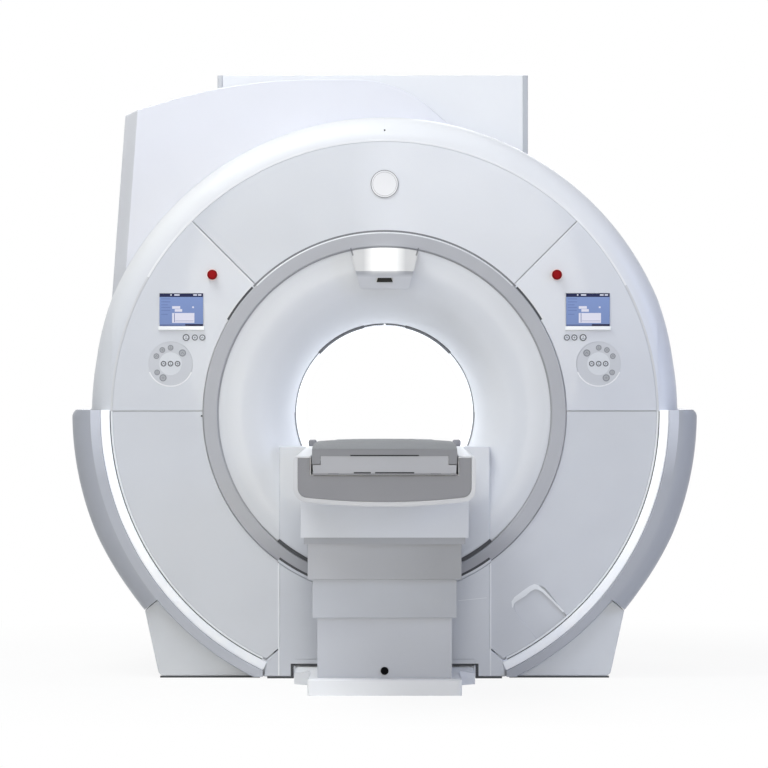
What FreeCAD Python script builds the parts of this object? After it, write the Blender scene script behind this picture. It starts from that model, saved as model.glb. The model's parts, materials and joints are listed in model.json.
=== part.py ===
import FreeCAD, Part
import math
import os

import Sketcher

Vector = FreeCAD.Vector

# Driving dimensions in millimetres and degrees. The frame is +X right, +Z up, with the front
# of the scanner facing -Y; the origin is on the floor, straight below the middle of the bore.
SIZES = {
    # outer shell; the shell drives every other outside radius and the height of the bore
    "shell_radius": 1190,
    "shell_sink": 130,
    "shell_wall": 8,
    "shell_flange": 40,
    "shoulder_radius": 95,
    "shoulder_steps": 4,
    # bore, bells and trim ring; distances along the bore are from its middle
    "bore_radius": 350,
    "bell_wall": 6,
    "flare_steps": 4,
    "flare_back_angle": 70,
    "rear_flare_radius": 220,
    "face_distance": 840,
    "rear_distance": 820,
    "panel_width": 367,
    "ring_margin": 67,
    "ring_width": 63,
    "ring_depth": 20,
    "ring_proud": 8,
    "ring_seat_width": 38,
    # magnet and coils
    "gradient_margin": 30,
    "gradient_thickness": 80,
    "gradient_inset": 35,
    "rf_inset": 175,
    "magnet_margin": 230,
    "magnet_inset": 10,
    "magnet_corner": 30,
    # clearances
    "seat_gap": 0.3,
    "fit_gap": 0.5,
    "panel_gap": 3,
    "floor_gap": 8,
    # front panels; places on them are polar, inward from the panels' outer edge
    "panel_thickness": 14,
    "panel_edge": 5,
    "seam_angle": 45,
    "seam_height": 10,
    "slot_start_angle": 136.5,
    "slot_end_angle": 149,
    "slot_width": 14,
    "slot_depth": 9,
    "recess_angle": -52,
    "recess_inset": 184,
    "recess_half_width": 76,
    "recess_corner": 48,
    "recess_depth": 9,
    # rear cover
    "rear_cover_margin": 30,
    "rear_lip": 15,
    "rear_lip_length": 25,
    # dock column in front of the lower half of the bore
    "column_half_width": 422,
    "column_rise": 66,
    "column_proud": 6,
    "column_depth": 234,
    "column_wall": 8,
    "column_front_wall": 30,
    "column_foot_spread": 62,
    "column_foot_lean": 12,
    "column_foot_height": 76,
    "column_foot_rise": 42,
    "channel_side_gap": 12,
    "groove_gap": 5,
    "notch_clearance": 12,
    # wings, light strips and foot covers
    "wing_inset": 54,
    "wing_proud": 54,
    "wing_band_width": 40,
    "wing_front_proud": 22,
    "wing_rear_inset": 520,
    "wing_edge": 4,
    "wing_steps": 3,
    "wing_top_angle": 179.3,
    "wing_end_angle": 219.3,
    "wing_foot_angle": 248,
    "strip_proud": 12,
    "strip_end_angle": 244.6,
    "foot_inset": 40,
    "foot_rear_inset": 100,
    "foot_rake": 57.7,
    "foot_corner": 24,
    # turret cover over the cold head, on the upper left
    "turret_front_inset": 290,
    "turret_left_inset": 138,
    "turret_left_rise": 23,
    "turret_waist_inset": 80,
    "turret_waist_rise": 427,
    "turret_crown_rise": 167,
    "turret_crown_start": 273,
    "turret_crown_end": 123,
    "turret_crown_radius": 2110,
    "turret_fall_radius": 469,
    "turret_fall_angle": 41,
    "turret_fall_length": 170,
    "turret_wall": 8,
    "turret_bevel": 50,
    # service box on top at the back
    "service_left": 706,
    "service_right": 605,
    "service_front": 100,
    "service_rear_inset": 105,
    "service_rise": 231,
    "service_wall": 8,
    "service_rib": 21,
    "service_rib_proud": 6,
    # cold head and vent pipe on the magnet
    "cold_x": 520,
    "cold_y": 170,
    "cold_flange_radius": 130,
    "cold_flange_height": 60,
    "cold_neck_radius": 72,
    "cold_top_gap": 127,
    "cold_motor_half": 90,
    "cold_motor_height": 120,
    "vent_x": 250,
    "vent_y": 400,
    "vent_radius": 100,
    "vent_bore": 92,
    "hatch_margin": 60,
    # displays, keys and stop buttons
    "display_inset": 179.2,
    "display_angle": 27.04,
    "display_width": 175,
    "display_rise": 132,
    "display_frame": 4,
    "display_depth": 18,
    "display_proud": 5,
    "screen_depth": 2,
    "ledge_height": 15,
    "ledge_proud": 11,
    "ledge_side": 4,
    "key_drop": 111,
    "key_outer_shift": 19,
    "key_middle_shift": 54,
    "key_inner_shift": 84,
    "key_large_radius": 14,
    "key_small_radius": 12.2,
    "key_proud": 2.5,
    "key_flange": 2,
    "key_sides": 12,
    "keypad_inset": 213.2,
    "keypad_angle": 13.09,
    "keypad_radius": 88,
    "keypad_inner_radius": 46,
    "keypad_inner_sides": 24,
    "keypad_circle": 64,
    "keypad_pitch": 28,
    "keypad_floor": 3,
    "keypad_key_rise": 1.5,
    "stop_inset": 207.3,
    "stop_angle": 38.85,
    "stop_head_radius": 20,
    "stop_head_height": 15,
    "stop_head_edge": 6,
    "stop_stem_radius": 11,
    "stop_lift": 9,
    "stop_sides": 16,
    # hood with the camera over the bore, badge disc
    "hood_height": 164,
    "hood_top_half": 136,
    "hood_bottom_half": 98,
    "hood_proud": 65,
    "hood_slope_height": 70,
    "hood_slope_depth": 42,
    "hood_corner": 22,
    "window_half_width": 33,
    "window_height": 35,
    "window_rise": 17,
    "window_set_back": 30,
    "badge_radius": 54,
    "badge_inset": 174,
    "badge_thickness": 4,
    # floor frame under the magnet
    "frame_half_width": 520,
    "frame_half_length": 500,
    "beam_width": 80,
    "beam_height": 50,
    "saddle_inset": 50,
    "saddle_station_inset": 95,
    "saddle_thickness": 70,
    "anchor_radius": 11,
    "anchor_inset": 100,
    # bridge that carries the cradle through the bore; the deck is its top
    "bridge_drop": 198,
    "bridge_slot_half": 30,
    "bridge_slot_depth": 12,
    # cradle, its foot block, pad and pull handle
    "cradle_half_width": 252,
    "cradle_side_gap": 4,
    "cradle_deck_gap": 4,
    "cradle_height": 82,
    "cradle_clearance": 4,
    "cradle_set_back": 30,
    "cradle_overhang": 6,
    "cradle_chamfer": 16,
    "cradle_tray_depth": 22,
    "rim_width": 12,
    "rim_slope": 12,
    "runner_inset": 22,
    "runner_width": 60,
    "runner_gap": 0.4,
    "underside_rise": 12,
    "foot_block_length": 150,
    "bolster_height": 38,
    "bolster_side": 18,
    "bolster_nose": 62,
    "bolster_edge": 3,
    "pad_side": 3,
    "pad_proud": 5,
    "pad_crown": 3,
    "pad_edge": 8,
    "handle_inset": 30,
    "handle_foot_inset": 3,
    "handle_foot_height": 30,
    "handle_height": 61,
    "handle_thickness": 14,
    "handle_axis_rise": 48,
    "handle_axis_back": 8,
    "handle_bay_depth": 26,
    "handle_gap": 1,
    "handle_block_gap": 3,
    "pin_radius": 4,
    "pin_length": 9,
    "pin_gap": 0.05,
    # table body
    "table_length": 2170,
    "table_face_gap": 30,
    "rail_width": 62,
    "rail_rise": 64,
    "rail_round": 16,
    "rail_edge": 6,
    "tub_depth": 111,
    "tub_sag": 15,
    "tub_corner": 50,
    "cap_inset": 16,
    "cap_thickness": 8,
    "cap_pocket": 10,
    "cap_top_drop": 6,
    # lifting covers round the pedestal, numbered from the table down
    "cover_inset": 62.5,
    "cover_length": 732,
    "cover_rear_gap": 88,
    "cover_step": 18,
    "cover_wall": 4,
    "cover_lip": 4,
    "cover_slack": 2.5,
    "cover_1_wall": 10,
    "cover_1_drop": 182,
    "cover_1_lip_height": 29,
    "cover_1_overlap": 45,
    "cover_2_height": 164.3,
    "cover_3_height": 150.3,
    # table base, lifting column, drives
    "base_height": 63,
    "base_side": 37.5,
    "base_front_side": 60,
    "base_dock_inset": 67,
    "base_dock_length": 350,
    "base_dock_reach": 40,
    "base_corner": 14,
    "base_edge": 6,
    "base_anchor_radius": 9,
    "base_anchor_x": 200,
    "base_anchor_front_inset": 90,
    "base_anchor_rear_inset": 62,
    "column_tube_x": 300,
    "column_tube_y": 260,
    "column_tube_wall": 10,
    "column_tube_length": 325,
    "plug_rise": 27,
    "plug_radius": 15,
    "plug_stem_radius": 9,
    "plug_proud": 4,
    "plug_sides": 24,
    "motor_inset": 120,
    "motor_radius": 55,
    "motor_height": 150,
    "drive_inset": 130,
    "drive_half_width": 90,
    "drive_length": 130,
    "drive_height": 95,
}

# Keys on each round keypad: angle on the key circle of the left pad, and whether it is large.
KEYPAD_KEYS = [(42, True), (90, False), (121, False), (152, False), (213, False), (242, True)]

document = FreeCAD.newDocument("mri_scanner")
nodes = []


class Size:
    """A number from the sheet, with the expression that keeps a property bound to it."""

    def __init__(self, number, text):
        self.number = float(number)
        self.text = text

    def __add__(self, other):
        return Size(self.number + plain(other), f"({self.text} + {written(other)})")

    def __radd__(self, other):
        return Size(plain(other) + self.number, f"({written(other)} + {self.text})")

    def __sub__(self, other):
        return Size(self.number - plain(other), f"({self.text} - {written(other)})")

    def __rsub__(self, other):
        return Size(plain(other) - self.number, f"({written(other)} - {self.text})")

    def __mul__(self, other):
        return Size(self.number * plain(other), f"({self.text} * {written(other)})")

    __rmul__ = __mul__

    def __truediv__(self, other):
        return Size(self.number / plain(other), f"({self.text} / {written(other)})")

    def __neg__(self):
        return Size(-self.number, f"(0 - {self.text})")


def plain(value):
    return value.number if isinstance(value, Size) else float(value)


def written(value):
    return value.text if isinstance(value, Size) else f"{value}"


def root(value):
    return Size(math.sqrt(value.number), f"sqrt({value.text})")


def cosine(angle):
    return Size(math.cos(math.radians(plain(angle))), f"cos({written(angle)})")


def sine(angle):
    return Size(math.sin(math.radians(plain(angle))), f"sin({written(angle)})")


def leg(hypotenuse, side):
    """The other side of a right-angled triangle."""
    return root(hypotenuse * hypotenuse - side * side)


class SizeSheet:
    """The spreadsheet of driving dimensions, read as attributes."""

    def __init__(self, sizes):
        self.sheet = document.addObject("Spreadsheet::Sheet", "Sizes")
        for row, (alias, number) in enumerate(sizes.items(), start=1):
            self.sheet.set(f"A{row}", alias.replace("_", " "))
            self.sheet.set(f"B{row}", str(number))
            self.sheet.setAlias(f"B{row}", alias)
        document.recompute()

    def __getattr__(self, alias):
        return Size(self.sheet.get(alias), f"Sizes.{alias}")


s = SizeSheet(SIZES)

# ---- sizes that follow from the driving ones

isocentre_height = s.shell_radius - s.shell_sink
panel_radius = s.shell_radius - s.shoulder_radius - s.panel_gap
ring_outer_radius = panel_radius - s.panel_width
ring_inner_radius = ring_outer_radius - s.ring_width
crest_radius = ring_inner_radius - s.ring_margin
flare_radius = crest_radius - s.bore_radius
rear_crest_radius = s.bore_radius + s.rear_flare_radius
rear_cover_radius = rear_crest_radius + s.rear_cover_margin
throat_distance = s.face_distance - flare_radius
rear_throat_distance = s.rear_distance - s.rear_flare_radius
ring_front = s.face_distance + s.ring_proud
ring_seat = ring_front - s.ring_depth - s.seat_gap
gradient_inner_radius = s.bore_radius + s.gradient_margin
magnet_inner_radius = gradient_inner_radius + s.gradient_thickness
magnet_outer_radius = s.shell_radius - s.magnet_margin
magnet_half_length = throat_distance - s.magnet_inset
wing_inner_radius = s.shell_radius - s.wing_inset
wing_band_radius = wing_inner_radius + s.wing_band_width
wing_outer_radius = s.shell_radius + s.wing_proud
wing_front = s.face_distance + s.wing_front_proud
wing_round = wing_outer_radius - wing_band_radius
turret_crown = isocentre_height + s.shell_radius + s.turret_crown_rise
service_top = isocentre_height + s.shell_radius + s.service_rise
deck_height = isocentre_height - s.bridge_drop
bay_floor = deck_height + s.cradle_deck_gap
bay_half_width = s.cradle_half_width + s.cradle_side_gap
channel_half_width = bay_half_width + s.channel_side_gap
column_top = deck_height + s.column_rise
column_front = s.face_distance + s.column_proud
column_back = column_front - s.column_depth
column_foot_half_width = s.column_half_width + s.column_foot_spread
base_dock_half_width = s.column_half_width - s.base_dock_inset
table_rear = s.face_distance + s.table_face_gap
table_front = table_rear + s.table_length
table_half_width = bay_half_width + s.rail_width
table_top = bay_floor + s.rail_rise
table_bottom = bay_floor - s.tub_depth
cradle_bottom = bay_floor + s.cradle_clearance
cradle_top = cradle_bottom + s.cradle_height
cradle_floor = cradle_top - s.cradle_tray_depth
cradle_rear = table_rear + s.cradle_set_back
cradle_front = table_front + s.cradle_overhang
cover_half_width = table_half_width - s.cover_inset
cover_rear = table_rear + s.cover_rear_gap
cover_front = cover_rear + s.cover_length
cover_1_bottom = table_bottom - s.cover_1_drop
cover_2_top = cover_1_bottom + s.cover_1_lip_height + s.seat_gap
cover_2_bottom = cover_2_top - s.cover_2_height
cover_3_top = cover_2_bottom + s.cover_lip + s.seat_gap
cover_3_bottom = cover_3_top - s.cover_3_height
cover_4_top = cover_3_bottom + s.cover_lip + s.seat_gap
base_top = s.base_height + s.seat_gap
pedestal_y = (cover_front + cover_rear) / 2
display_radius = panel_radius - s.display_inset


# ---- small tools that bind features to the sheet

def bind(item, name, value):
    item.setExpression(name, written(value))


def place(item, x=0, y=0, z=0):
    for axis, value in (("x", x), ("y", y), ("z", z)):
        bind(item, f"Placement.Base.{axis}", value)


def node(item, label):
    item.Label = label
    nodes.append(item)
    return item


def new_body(name, x=0, y=0, z=0):
    body = document.addObject("PartDesign::Body", name)
    place(body, x, y, z)
    return body


def bore_body(name, x=0, z=0):
    """A body whose own origin lies on the bore axis, or beside it by x and z."""
    return new_body(name, x, 0, isocentre_height + z)


def new_sketch(body, plane, offset=0, turn=0):
    sketch = body.newObject("Sketcher::SketchObject", f"{body.Name}_sketch")
    support = [item for item in body.Origin.OriginFeatures if item.Role == plane][0]
    sketch.AttachmentSupport = [(support, "")]
    sketch.MapMode = "FlatFace"
    sketch.AttachmentOffset = FreeCAD.Placement(Vector(), FreeCAD.Rotation(Vector(0, 0, 1), 1))
    bind(sketch, "AttachmentOffset.Rotation.Angle", turn)
    bind(sketch, "AttachmentOffset.Base.z", offset)
    return sketch


def fix_point(sketch, geometry, point, u, v):
    for kind, value in (("DistanceX", u), ("DistanceY", v)):
        rule = Sketcher.Constraint(kind, -1, 1, geometry, point, plain(value))
        index = sketch.addConstraint(rule)
        if isinstance(value, Size):
            bind(sketch, f"Constraints[{index}]", value)


def fix_radius(sketch, geometry, radius):
    index = sketch.addConstraint(Sketcher.Constraint("Radius", geometry, plain(radius)))
    if isinstance(radius, Size):
        bind(sketch, f"Constraints[{index}]", radius)


def arc_between(start, end, radius, anticlockwise):
    """The shorter arc of that radius from start to end."""
    chord = end - start
    rise = math.sqrt(max(radius ** 2 - chord.Length ** 2 / 4, 0))
    left = Vector(-chord.y, chord.x, 0) / chord.Length
    centre = (start + end) / 2 + left * (rise if anticlockwise else -rise)
    angles = [math.atan2(point.y - centre.y, point.x - centre.x) for point in (start, end)]
    circle = Part.Circle(centre, Vector(0, 0, 1), radius)
    if not anticlockwise:
        angles.reverse()
    return Part.ArcOfCircle(circle, angles[0], angles[1])


def outline(sketch, corners, bends=None):
    """A closed outline. bends gives the radius of the arc that leaves a corner, + anticlockwise."""
    bends = bends or {}
    points = [Vector(plain(u), plain(v), 0) for u, v in corners]
    edges = []
    for index, start in enumerate(points):
        end = points[(index + 1) % len(points)]
        radius = plain(bends.get(index, 0))
        if radius:
            geometry = sketch.addGeometry(arc_between(start, end, abs(radius), radius > 0))
            edges.append((geometry, 1, 2) if radius > 0 else (geometry, 2, 1))
        else:
            edges.append((sketch.addGeometry(Part.LineSegment(start, end)), 1, 2))
    for index, (geometry, first, last) in enumerate(edges):
        following = edges[(index + 1) % len(edges)]
        sketch.addConstraint(Sketcher.Constraint("Coincident", geometry, last, following[0], following[1]))
        fix_point(sketch, geometry, first, *corners[index])
        if index in bends and plain(bends[index]):
            bend = bends[index]
            fix_radius(sketch, geometry, bend if plain(bend) > 0 else -bend)
    return sketch


def disc(sketch, u, v, radius):
    geometry = sketch.addGeometry(Part.Circle(Vector(plain(u), plain(v), 0), Vector(0, 0, 1), plain(radius)))
    fix_point(sketch, geometry, 3, u, v)
    fix_radius(sketch, geometry, radius)
    return sketch


def rectangle(sketch, u0, u1, v0, v1):
    return outline(sketch, [(u0, v0), (u1, v0), (u1, v1), (u0, v1)])


def prism(sketch, u, v, radius, sides):
    """A regular outline, used for small round pieces that repeat."""
    count = int(sides.number)
    corners = [polar(radius, 360 * index / count) for index in range(count)]
    return outline(sketch, [(u + across, v + up) for across, up in corners])


def pad(body, sketch, length, symmetric=False):
    feature = body.newObject("PartDesign::Pad", f"{body.Name}_block")
    feature.Profile = sketch
    bind(feature, "Length", length)
    if symmetric:
        feature.SideType = "Symmetric"
    sketch.Visibility = False
    return feature


def pocket(body, sketch, depth, reverse=False):
    document.recompute()
    before = body.Shape.Volume
    feature = body.newObject("PartDesign::Pocket", f"{body.Name}_pocket")
    feature.Profile = sketch
    bind(feature, "Length", depth)
    feature.Reversed = reverse
    document.recompute()
    if body.Shape.Volume >= before:
        raise RuntimeError(f"{feature.Name} cuts nothing")
    return feature


def revolve(body, corners, bends=None):
    """Turn a profile of (radius, distance along the bore) about the body's own Y axis."""
    sketch = outline(new_sketch(body, "XY_Plane"), corners, bends)
    feature = body.newObject("PartDesign::Revolution", f"{body.Name}_turn")
    feature.Profile = sketch
    feature.ReferenceAxis = (sketch, ["V_Axis"])
    feature.Angle = 360
    return feature


def edges_where(shape, test):
    return [f"Edge{index}" for index, edge in enumerate(shape.Edges, start=1) if test(edge)]


def fillet(body, radius, test, kind="PartDesign::Fillet", size="Radius"):
    document.recompute()
    base = body.Tip
    feature = body.newObject(kind, f"{body.Name}_edge")
    feature.Base = (base, edges_where(base.Shape, test))
    bind(feature, size, radius)
    return feature


def box(name, x0, x1, y0, y1, z0, z1):
    item = document.addObject("Part::Box", name)
    bind(item, "Length", x1 - x0)
    bind(item, "Width", y1 - y0)
    bind(item, "Height", z1 - z0)
    place(item, x0, y0, z0)
    return item


def upright_cylinder(name, radius, x, y, z0, z1):
    item = document.addObject("Part::Cylinder", name)
    bind(item, "Radius", radius)
    bind(item, "Height", z1 - z0)
    place(item, x, y, z0)
    return item


def cut(name, base, *tools):
    for index, tool in enumerate(tools):
        item = document.addObject("Part::Cut", f"{name}_cut_{index}")
        item.Base = base
        item.Tool = tool
        base = item
    return base


def fuse(name, *items):
    item = document.addObject("Part::MultiFuse", name)
    item.Shapes = list(items)
    return item


def common(name, base, tool):
    item = document.addObject("Part::Common", name)
    item.Base = base
    item.Tool = tool
    return item


def mirrored(name, source):
    item = document.addObject("Part::Mirroring", name)
    item.Source = source
    item.Normal = Vector(1, 0, 0)
    return item


def polar(radius, angle):
    return radius * cosine(angle), radius * sine(angle)


def seam_point(radius, angle, side):
    """Where the circle of that radius meets a line beside the ray at angle, side away from it."""
    along = leg(radius, side)
    return along * cosine(angle) - side * sine(angle), along * sine(angle) + side * cosine(angle)


# ---- spaces that several pieces are cut to

def arc_points(centre, radius, start, steps, sweep=90):
    """The points of a round stretch in equal steps, anticlockwise from the start angle."""
    points = []
    for step in range(steps + 1):
        u, v = polar(radius, start + sweep * step / steps)
        points.append((centre[0] + u, centre[1] + v))
    return points


def shoulder_points(grow, front, turn=1):
    """The shell's round shoulder as (radius, distance): turn is 1 in front and -1 at the back."""
    steps = int(s.shoulder_steps.number)
    centre = (panel_radius + s.panel_gap, front - s.shoulder_radius)
    quarter = arc_points(centre, s.shoulder_radius + grow, 0, steps)
    return [(radius, along * -turn) for radius, along in quarter]


def flare_points(radius, steps, crest, throat, turn=1, sweep=90):
    """A bell's flare from throat towards crest as (radius, distance)."""
    flare = arc_points((crest, throat), radius, 180 - sweep, steps, sweep)
    return [(around, along * -turn) for around, along in reversed(flare)]


def shell_space():
    """The room that the outer shell fills, one seat gap larger than its outside."""
    body = bore_body("shell_space")
    gap = s.seat_gap
    shoulder = shoulder_points(gap, s.face_distance)
    front = shoulder[-1]
    corners = [(0, front[1]), front] + shoulder[-2::-1]
    reach = shoulder[0][0]
    corners += [(reach, s.rear_distance), (0, s.rear_distance)]
    revolve(body, corners)
    return body


def column_space():
    """The room that the dock column stands in, one panel gap larger than its outline."""
    body = new_body("column_space")
    gap = s.panel_gap
    foot = column_foot_half_width + gap
    shoulder = foot - s.column_foot_lean
    side, top = s.column_half_width + gap, column_top + gap
    knee = s.column_foot_height + gap
    hip = knee + s.column_foot_rise
    corners = [(-foot, 0), (foot, 0), (shoulder, knee), (side, hip), (side, top),
               (-side, top), (-side, hip), (-shoulder, knee)]
    sketch = outline(new_sketch(body, "XZ_Plane", column_back - gap), corners)
    pad(body, sketch, s.column_depth + gap + s.wing_front_proud)
    return body


def sector_space(name, start, end):
    """A wedge about the bore axis between two angles less than 90 degrees apart."""
    body = bore_body(name)
    far = wing_outer_radius * 2
    corners = [(0, 0), polar(far, start), polar(far, end)]
    pad(body, outline(new_sketch(body, "XZ_Plane", -s.rear_distance), corners), s.rear_distance * 3)
    return body


def floor_space():
    """Everything below the gap under the covers."""
    reach = wing_outer_radius * 2
    return box("floor_space", -reach, reach, -reach, reach, -reach, s.floor_gap)


shell_room = shell_space()
column_room = column_space()
floor_room = floor_space()


# ---- magnet, coils and bore

def turned_tube(label, inner, outer, front, rear):
    body = bore_body(label)
    revolve(body, [(inner, -front), (outer, -front), (outer, rear), (inner, rear)])
    return node(body, label)


def magnet_vessel():
    body = bore_body("magnet_vessel")
    inner, outer, half, corner = magnet_inner_radius, magnet_outer_radius, magnet_half_length, s.magnet_corner
    revolve(body, [(inner, -half), (outer - corner, -half), (outer, corner - half),
                   (outer, half - corner), (outer - corner, half), (inner, half)])
    return node(body, "magnet_vessel")


def bore_parts():
    gap = s.seat_gap
    liner_outer = s.bore_radius + s.bell_wall
    turned_tube("bore_liner", s.bore_radius, liner_outer, throat_distance - gap, rear_throat_distance - gap)
    rf_half = throat_distance - s.rf_inset
    turned_tube("rf_body_coil", liner_outer + gap, gradient_inner_radius - gap, rf_half, rf_half)
    gradient_half = throat_distance - s.gradient_inset
    turned_tube("gradient_coil", gradient_inner_radius, magnet_inner_radius - gap, gradient_half, gradient_half)


def front_bell():
    """The flared mouth of the bore, with a set-back flange that carries the trim ring."""
    body = bore_body("bell_blank")
    steps = int(s.flare_steps.number)
    wall = s.bell_wall
    mouth = flare_points(flare_radius, steps, crest_radius, throat_distance)
    sweep = s.flare_back_angle.number
    back = flare_points(flare_radius - wall, steps // 2, crest_radius, throat_distance, 1, sweep)
    edge = ring_inner_radius - s.panel_gap
    rim = edge + s.ring_seat_width
    flange = [(edge, -s.face_distance), (edge, -ring_seat), (rim, -ring_seat), (rim, wall - ring_seat)]
    revolve(body, mouth + flange + back[::-1])
    return node(cut("front_bell", body, column_room), "front_bell")


def rear_bell():
    body = bore_body("rear_bell")
    steps = int(s.flare_steps.number)
    face, wall = s.rear_distance, s.bell_wall
    mouth = flare_points(s.rear_flare_radius, steps, rear_crest_radius, rear_throat_distance, -1)
    back = flare_points(s.rear_flare_radius - wall, steps // 2, rear_crest_radius, rear_throat_distance, -1)
    edge = rear_cover_radius - s.panel_gap
    revolve(body, mouth + [(edge, face), (edge, face - wall)] + back[::-1])
    return node(body, "rear_bell")


def trim_ring():
    return turned_tube("trim_ring", ring_inner_radius, ring_outer_radius, ring_front, s.ring_depth - ring_front)


def bore_bridge():
    """The rail bed on the bore's floor, with a slot for the drive."""
    body = bore_body("bore_bridge")
    radius, drop = s.bore_radius - s.seat_gap, s.bridge_drop
    half, slot, depth = leg(radius, drop), s.bridge_slot_half, s.bridge_slot_depth
    corners = [(-half, -drop), (half, -drop), (slot, -drop), (slot, -(drop + depth)),
               (-slot, -(drop + depth)), (-slot, -drop)]
    sketch = outline(new_sketch(body, "XZ_Plane", -rear_throat_distance), corners, {0: radius})
    pad(body, sketch, rear_throat_distance + throat_distance)
    return node(body, "bore_bridge")


# ---- front panels

def panel_body(label, corners, bends):
    """A flat panel in front of the shell's flange, its outer front edge bevelled."""
    body = bore_body(label)
    back = s.face_distance - s.panel_thickness
    pad(body, outline(new_sketch(body, "XZ_Plane", back), corners, bends), s.panel_thickness)
    front, rim = -s.face_distance.number, panel_radius.number

    def on_rim(edge):
        curve = edge.Curve
        return (isinstance(curve, Part.Circle) and abs(curve.Radius - rim) < 0.1
                and abs(edge.CenterOfMass.y - front) < 0.1)

    fillet(body, s.panel_edge, on_rim, "PartDesign::Chamfer", "Size")
    return body


def panel_radii():
    return ring_outer_radius + s.panel_gap, panel_radius


def front_panel_top():
    inner, outer = panel_radii()
    half = s.panel_gap / 2
    left = 180 - s.seam_angle
    corners = [seam_point(outer, s.seam_angle, half), seam_point(outer, left, -half),
               seam_point(inner, left, -half), seam_point(inner, s.seam_angle, half)]
    return node(panel_body("front_panel_top", corners, {0: outer, 2: -inner}), "front_panel_top")


def front_pocket(body, draw, depth):
    """A pocket sunk from the panel's front face."""
    sketch = new_sketch(body, "XZ_Plane", s.face_distance)
    draw(sketch)
    return pocket(body, sketch, depth)


def console_panel_left():
    """The panel that holds the display, its three keys, the round keypad and the stop button."""
    inner, outer = panel_radii()
    half = s.panel_gap / 2
    left = 180 - s.seam_angle
    low = s.seam_height + half
    corners = [seam_point(outer, left, half), (-leg(outer, low), low),
               (-leg(inner, low), low), seam_point(inner, left, half)]
    body = panel_body("console_panel_left", corners, {0: outer, 2: -inner})
    gap = s.fit_gap

    def openings(sketch):
        width, rise = s.display_width / 2 + gap, s.display_rise / 2 + gap
        x, z = display_place()
        rectangle(sketch, -x - width, -x + width, z - rise, z + rise)
        x, z = keypad_place()
        disc(sketch, -x, z, s.keypad_radius + gap)
        x, z = stop_place()
        prism(sketch, -x, z, s.stop_stem_radius + gap, s.stop_sides)
        for (x, z), radius in key_places():
            prism(sketch, -x, z, radius + gap, s.key_sides)

    front_pocket(body, openings, s.panel_thickness * 2)

    def slot(sketch):
        near, far = inner - s.panel_gap, inner + s.slot_width
        start, end = s.slot_start_angle, s.slot_end_angle
        outline(sketch, [polar(near, start), polar(far, start), polar(far, end), polar(near, end)],
                {1: far, 3: -near})

    front_pocket(body, slot, s.slot_depth)
    return node(body, "console_panel_left")


def lower_panel_left():
    inner, outer = panel_radii()
    high = s.seam_height - s.panel_gap / 2
    side = s.column_half_width + s.panel_gap
    corners = [(-leg(outer, high), high), (-side, -leg(outer, side)),
               (-side, -leg(inner, side)), (-leg(inner, high), high)]
    body = panel_body("lower_panel_blank", corners, {0: outer, 2: -inner})
    return node(cut("lower_panel_left", body, column_room), "lower_panel_left")


def lower_panel_right(left):
    """The mirror of the left one, with a hand recess that opens at its rim."""
    blank = mirrored("lower_panel_mirror", left)
    recess = bore_body("hand_recess")
    sketch = new_sketch(recess, "XZ_Plane", s.face_distance - s.recess_depth, s.recess_angle)
    start, half, corner, far = panel_radius - s.recess_inset, s.recess_half_width, s.recess_corner, s.shell_radius
    corners = [(start + corner, -half), (far, -half), (far, half), (start + corner, half),
               (start, half - corner), (start, corner - half)]
    outline(sketch, corners, {3: corner, 5: corner})
    pad(recess, sketch, s.recess_depth * 2)
    return node(cut("lower_panel_right", blank, recess), "lower_panel_right")


# ---- outer covers

def shell_halves():
    """The round outer shell in two halves, with hatches for the cold head and the vent pipe."""
    body = bore_body("shell_blank")
    wall = s.shell_wall
    shoulder = shoulder_points(0, s.face_distance)
    edge, reach = shoulder[-1][0], s.shell_radius
    seat = s.face_distance - s.panel_thickness - s.seat_gap
    inside = edge - s.shell_flange
    rear = s.rear_distance - s.shoulder_radius - s.panel_gap
    start = shoulder[0][1]
    corners = shoulder[::-1] + [(reach, rear), (reach - wall, rear), (reach - wall, start),
                                (edge + wall * 2, wall - seat), (inside, wall - seat), (inside, -seat),
                                (edge, -seat)]
    revolve(body, corners)
    far = wing_outer_radius * 2
    margin = s.cold_flange_radius + s.hatch_margin
    hatch = box("cold_hatch", -s.cold_x - margin, -s.cold_x + margin, -s.cold_y - margin,
                -s.cold_y + margin, isocentre_height, far)
    blank = cut("shell_trimmed", body, floor_room, column_room)
    left_side = box("left_side", -far, -s.panel_gap / 2, -far, far, -far, far)
    right_side = box("right_side", s.panel_gap / 2, far, -far, far, -far, far)
    left = cut("shell_left", common("shell_left_half", blank, left_side), hatch)
    reach = s.vent_radius + s.hatch_margin
    vent = box("vent_hatch", s.vent_x - reach, s.vent_x + reach, s.vent_y - reach, s.vent_y + reach,
               isocentre_height, service_top)
    right = cut("shell_right", common("shell_right_half", blank, right_side), vent)
    return node(left, "shell_left"), node(right, "shell_right")


def rear_cover():
    """The back cover, which laps inside the shell and behind the rear bell's flange."""
    body = bore_body("rear_cover_blank")
    wall, gap = s.shell_wall, s.seat_gap
    shoulder = shoulder_points(0, s.rear_distance, -1)
    edge, start = shoulder[-1][0], shoulder[0][1]
    lip = s.shell_radius - wall - gap
    inner = lip - wall
    bell_back = s.rear_distance - s.bell_wall - gap
    back = bell_back - wall
    tongue = rear_cover_radius - s.rear_lip
    corners = [
        (rear_cover_radius, s.rear_distance), (rear_cover_radius, bell_back), (tongue, bell_back),
        (tongue, back), (edge, back), (inner, start), (inner, start - s.rear_lip_length),
        (lip, start - s.rear_lip_length), (lip, start),
    ] + shoulder
    revolve(body, corners)
    return node(cut("rear_cover", body, floor_room), "rear_cover")


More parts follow.
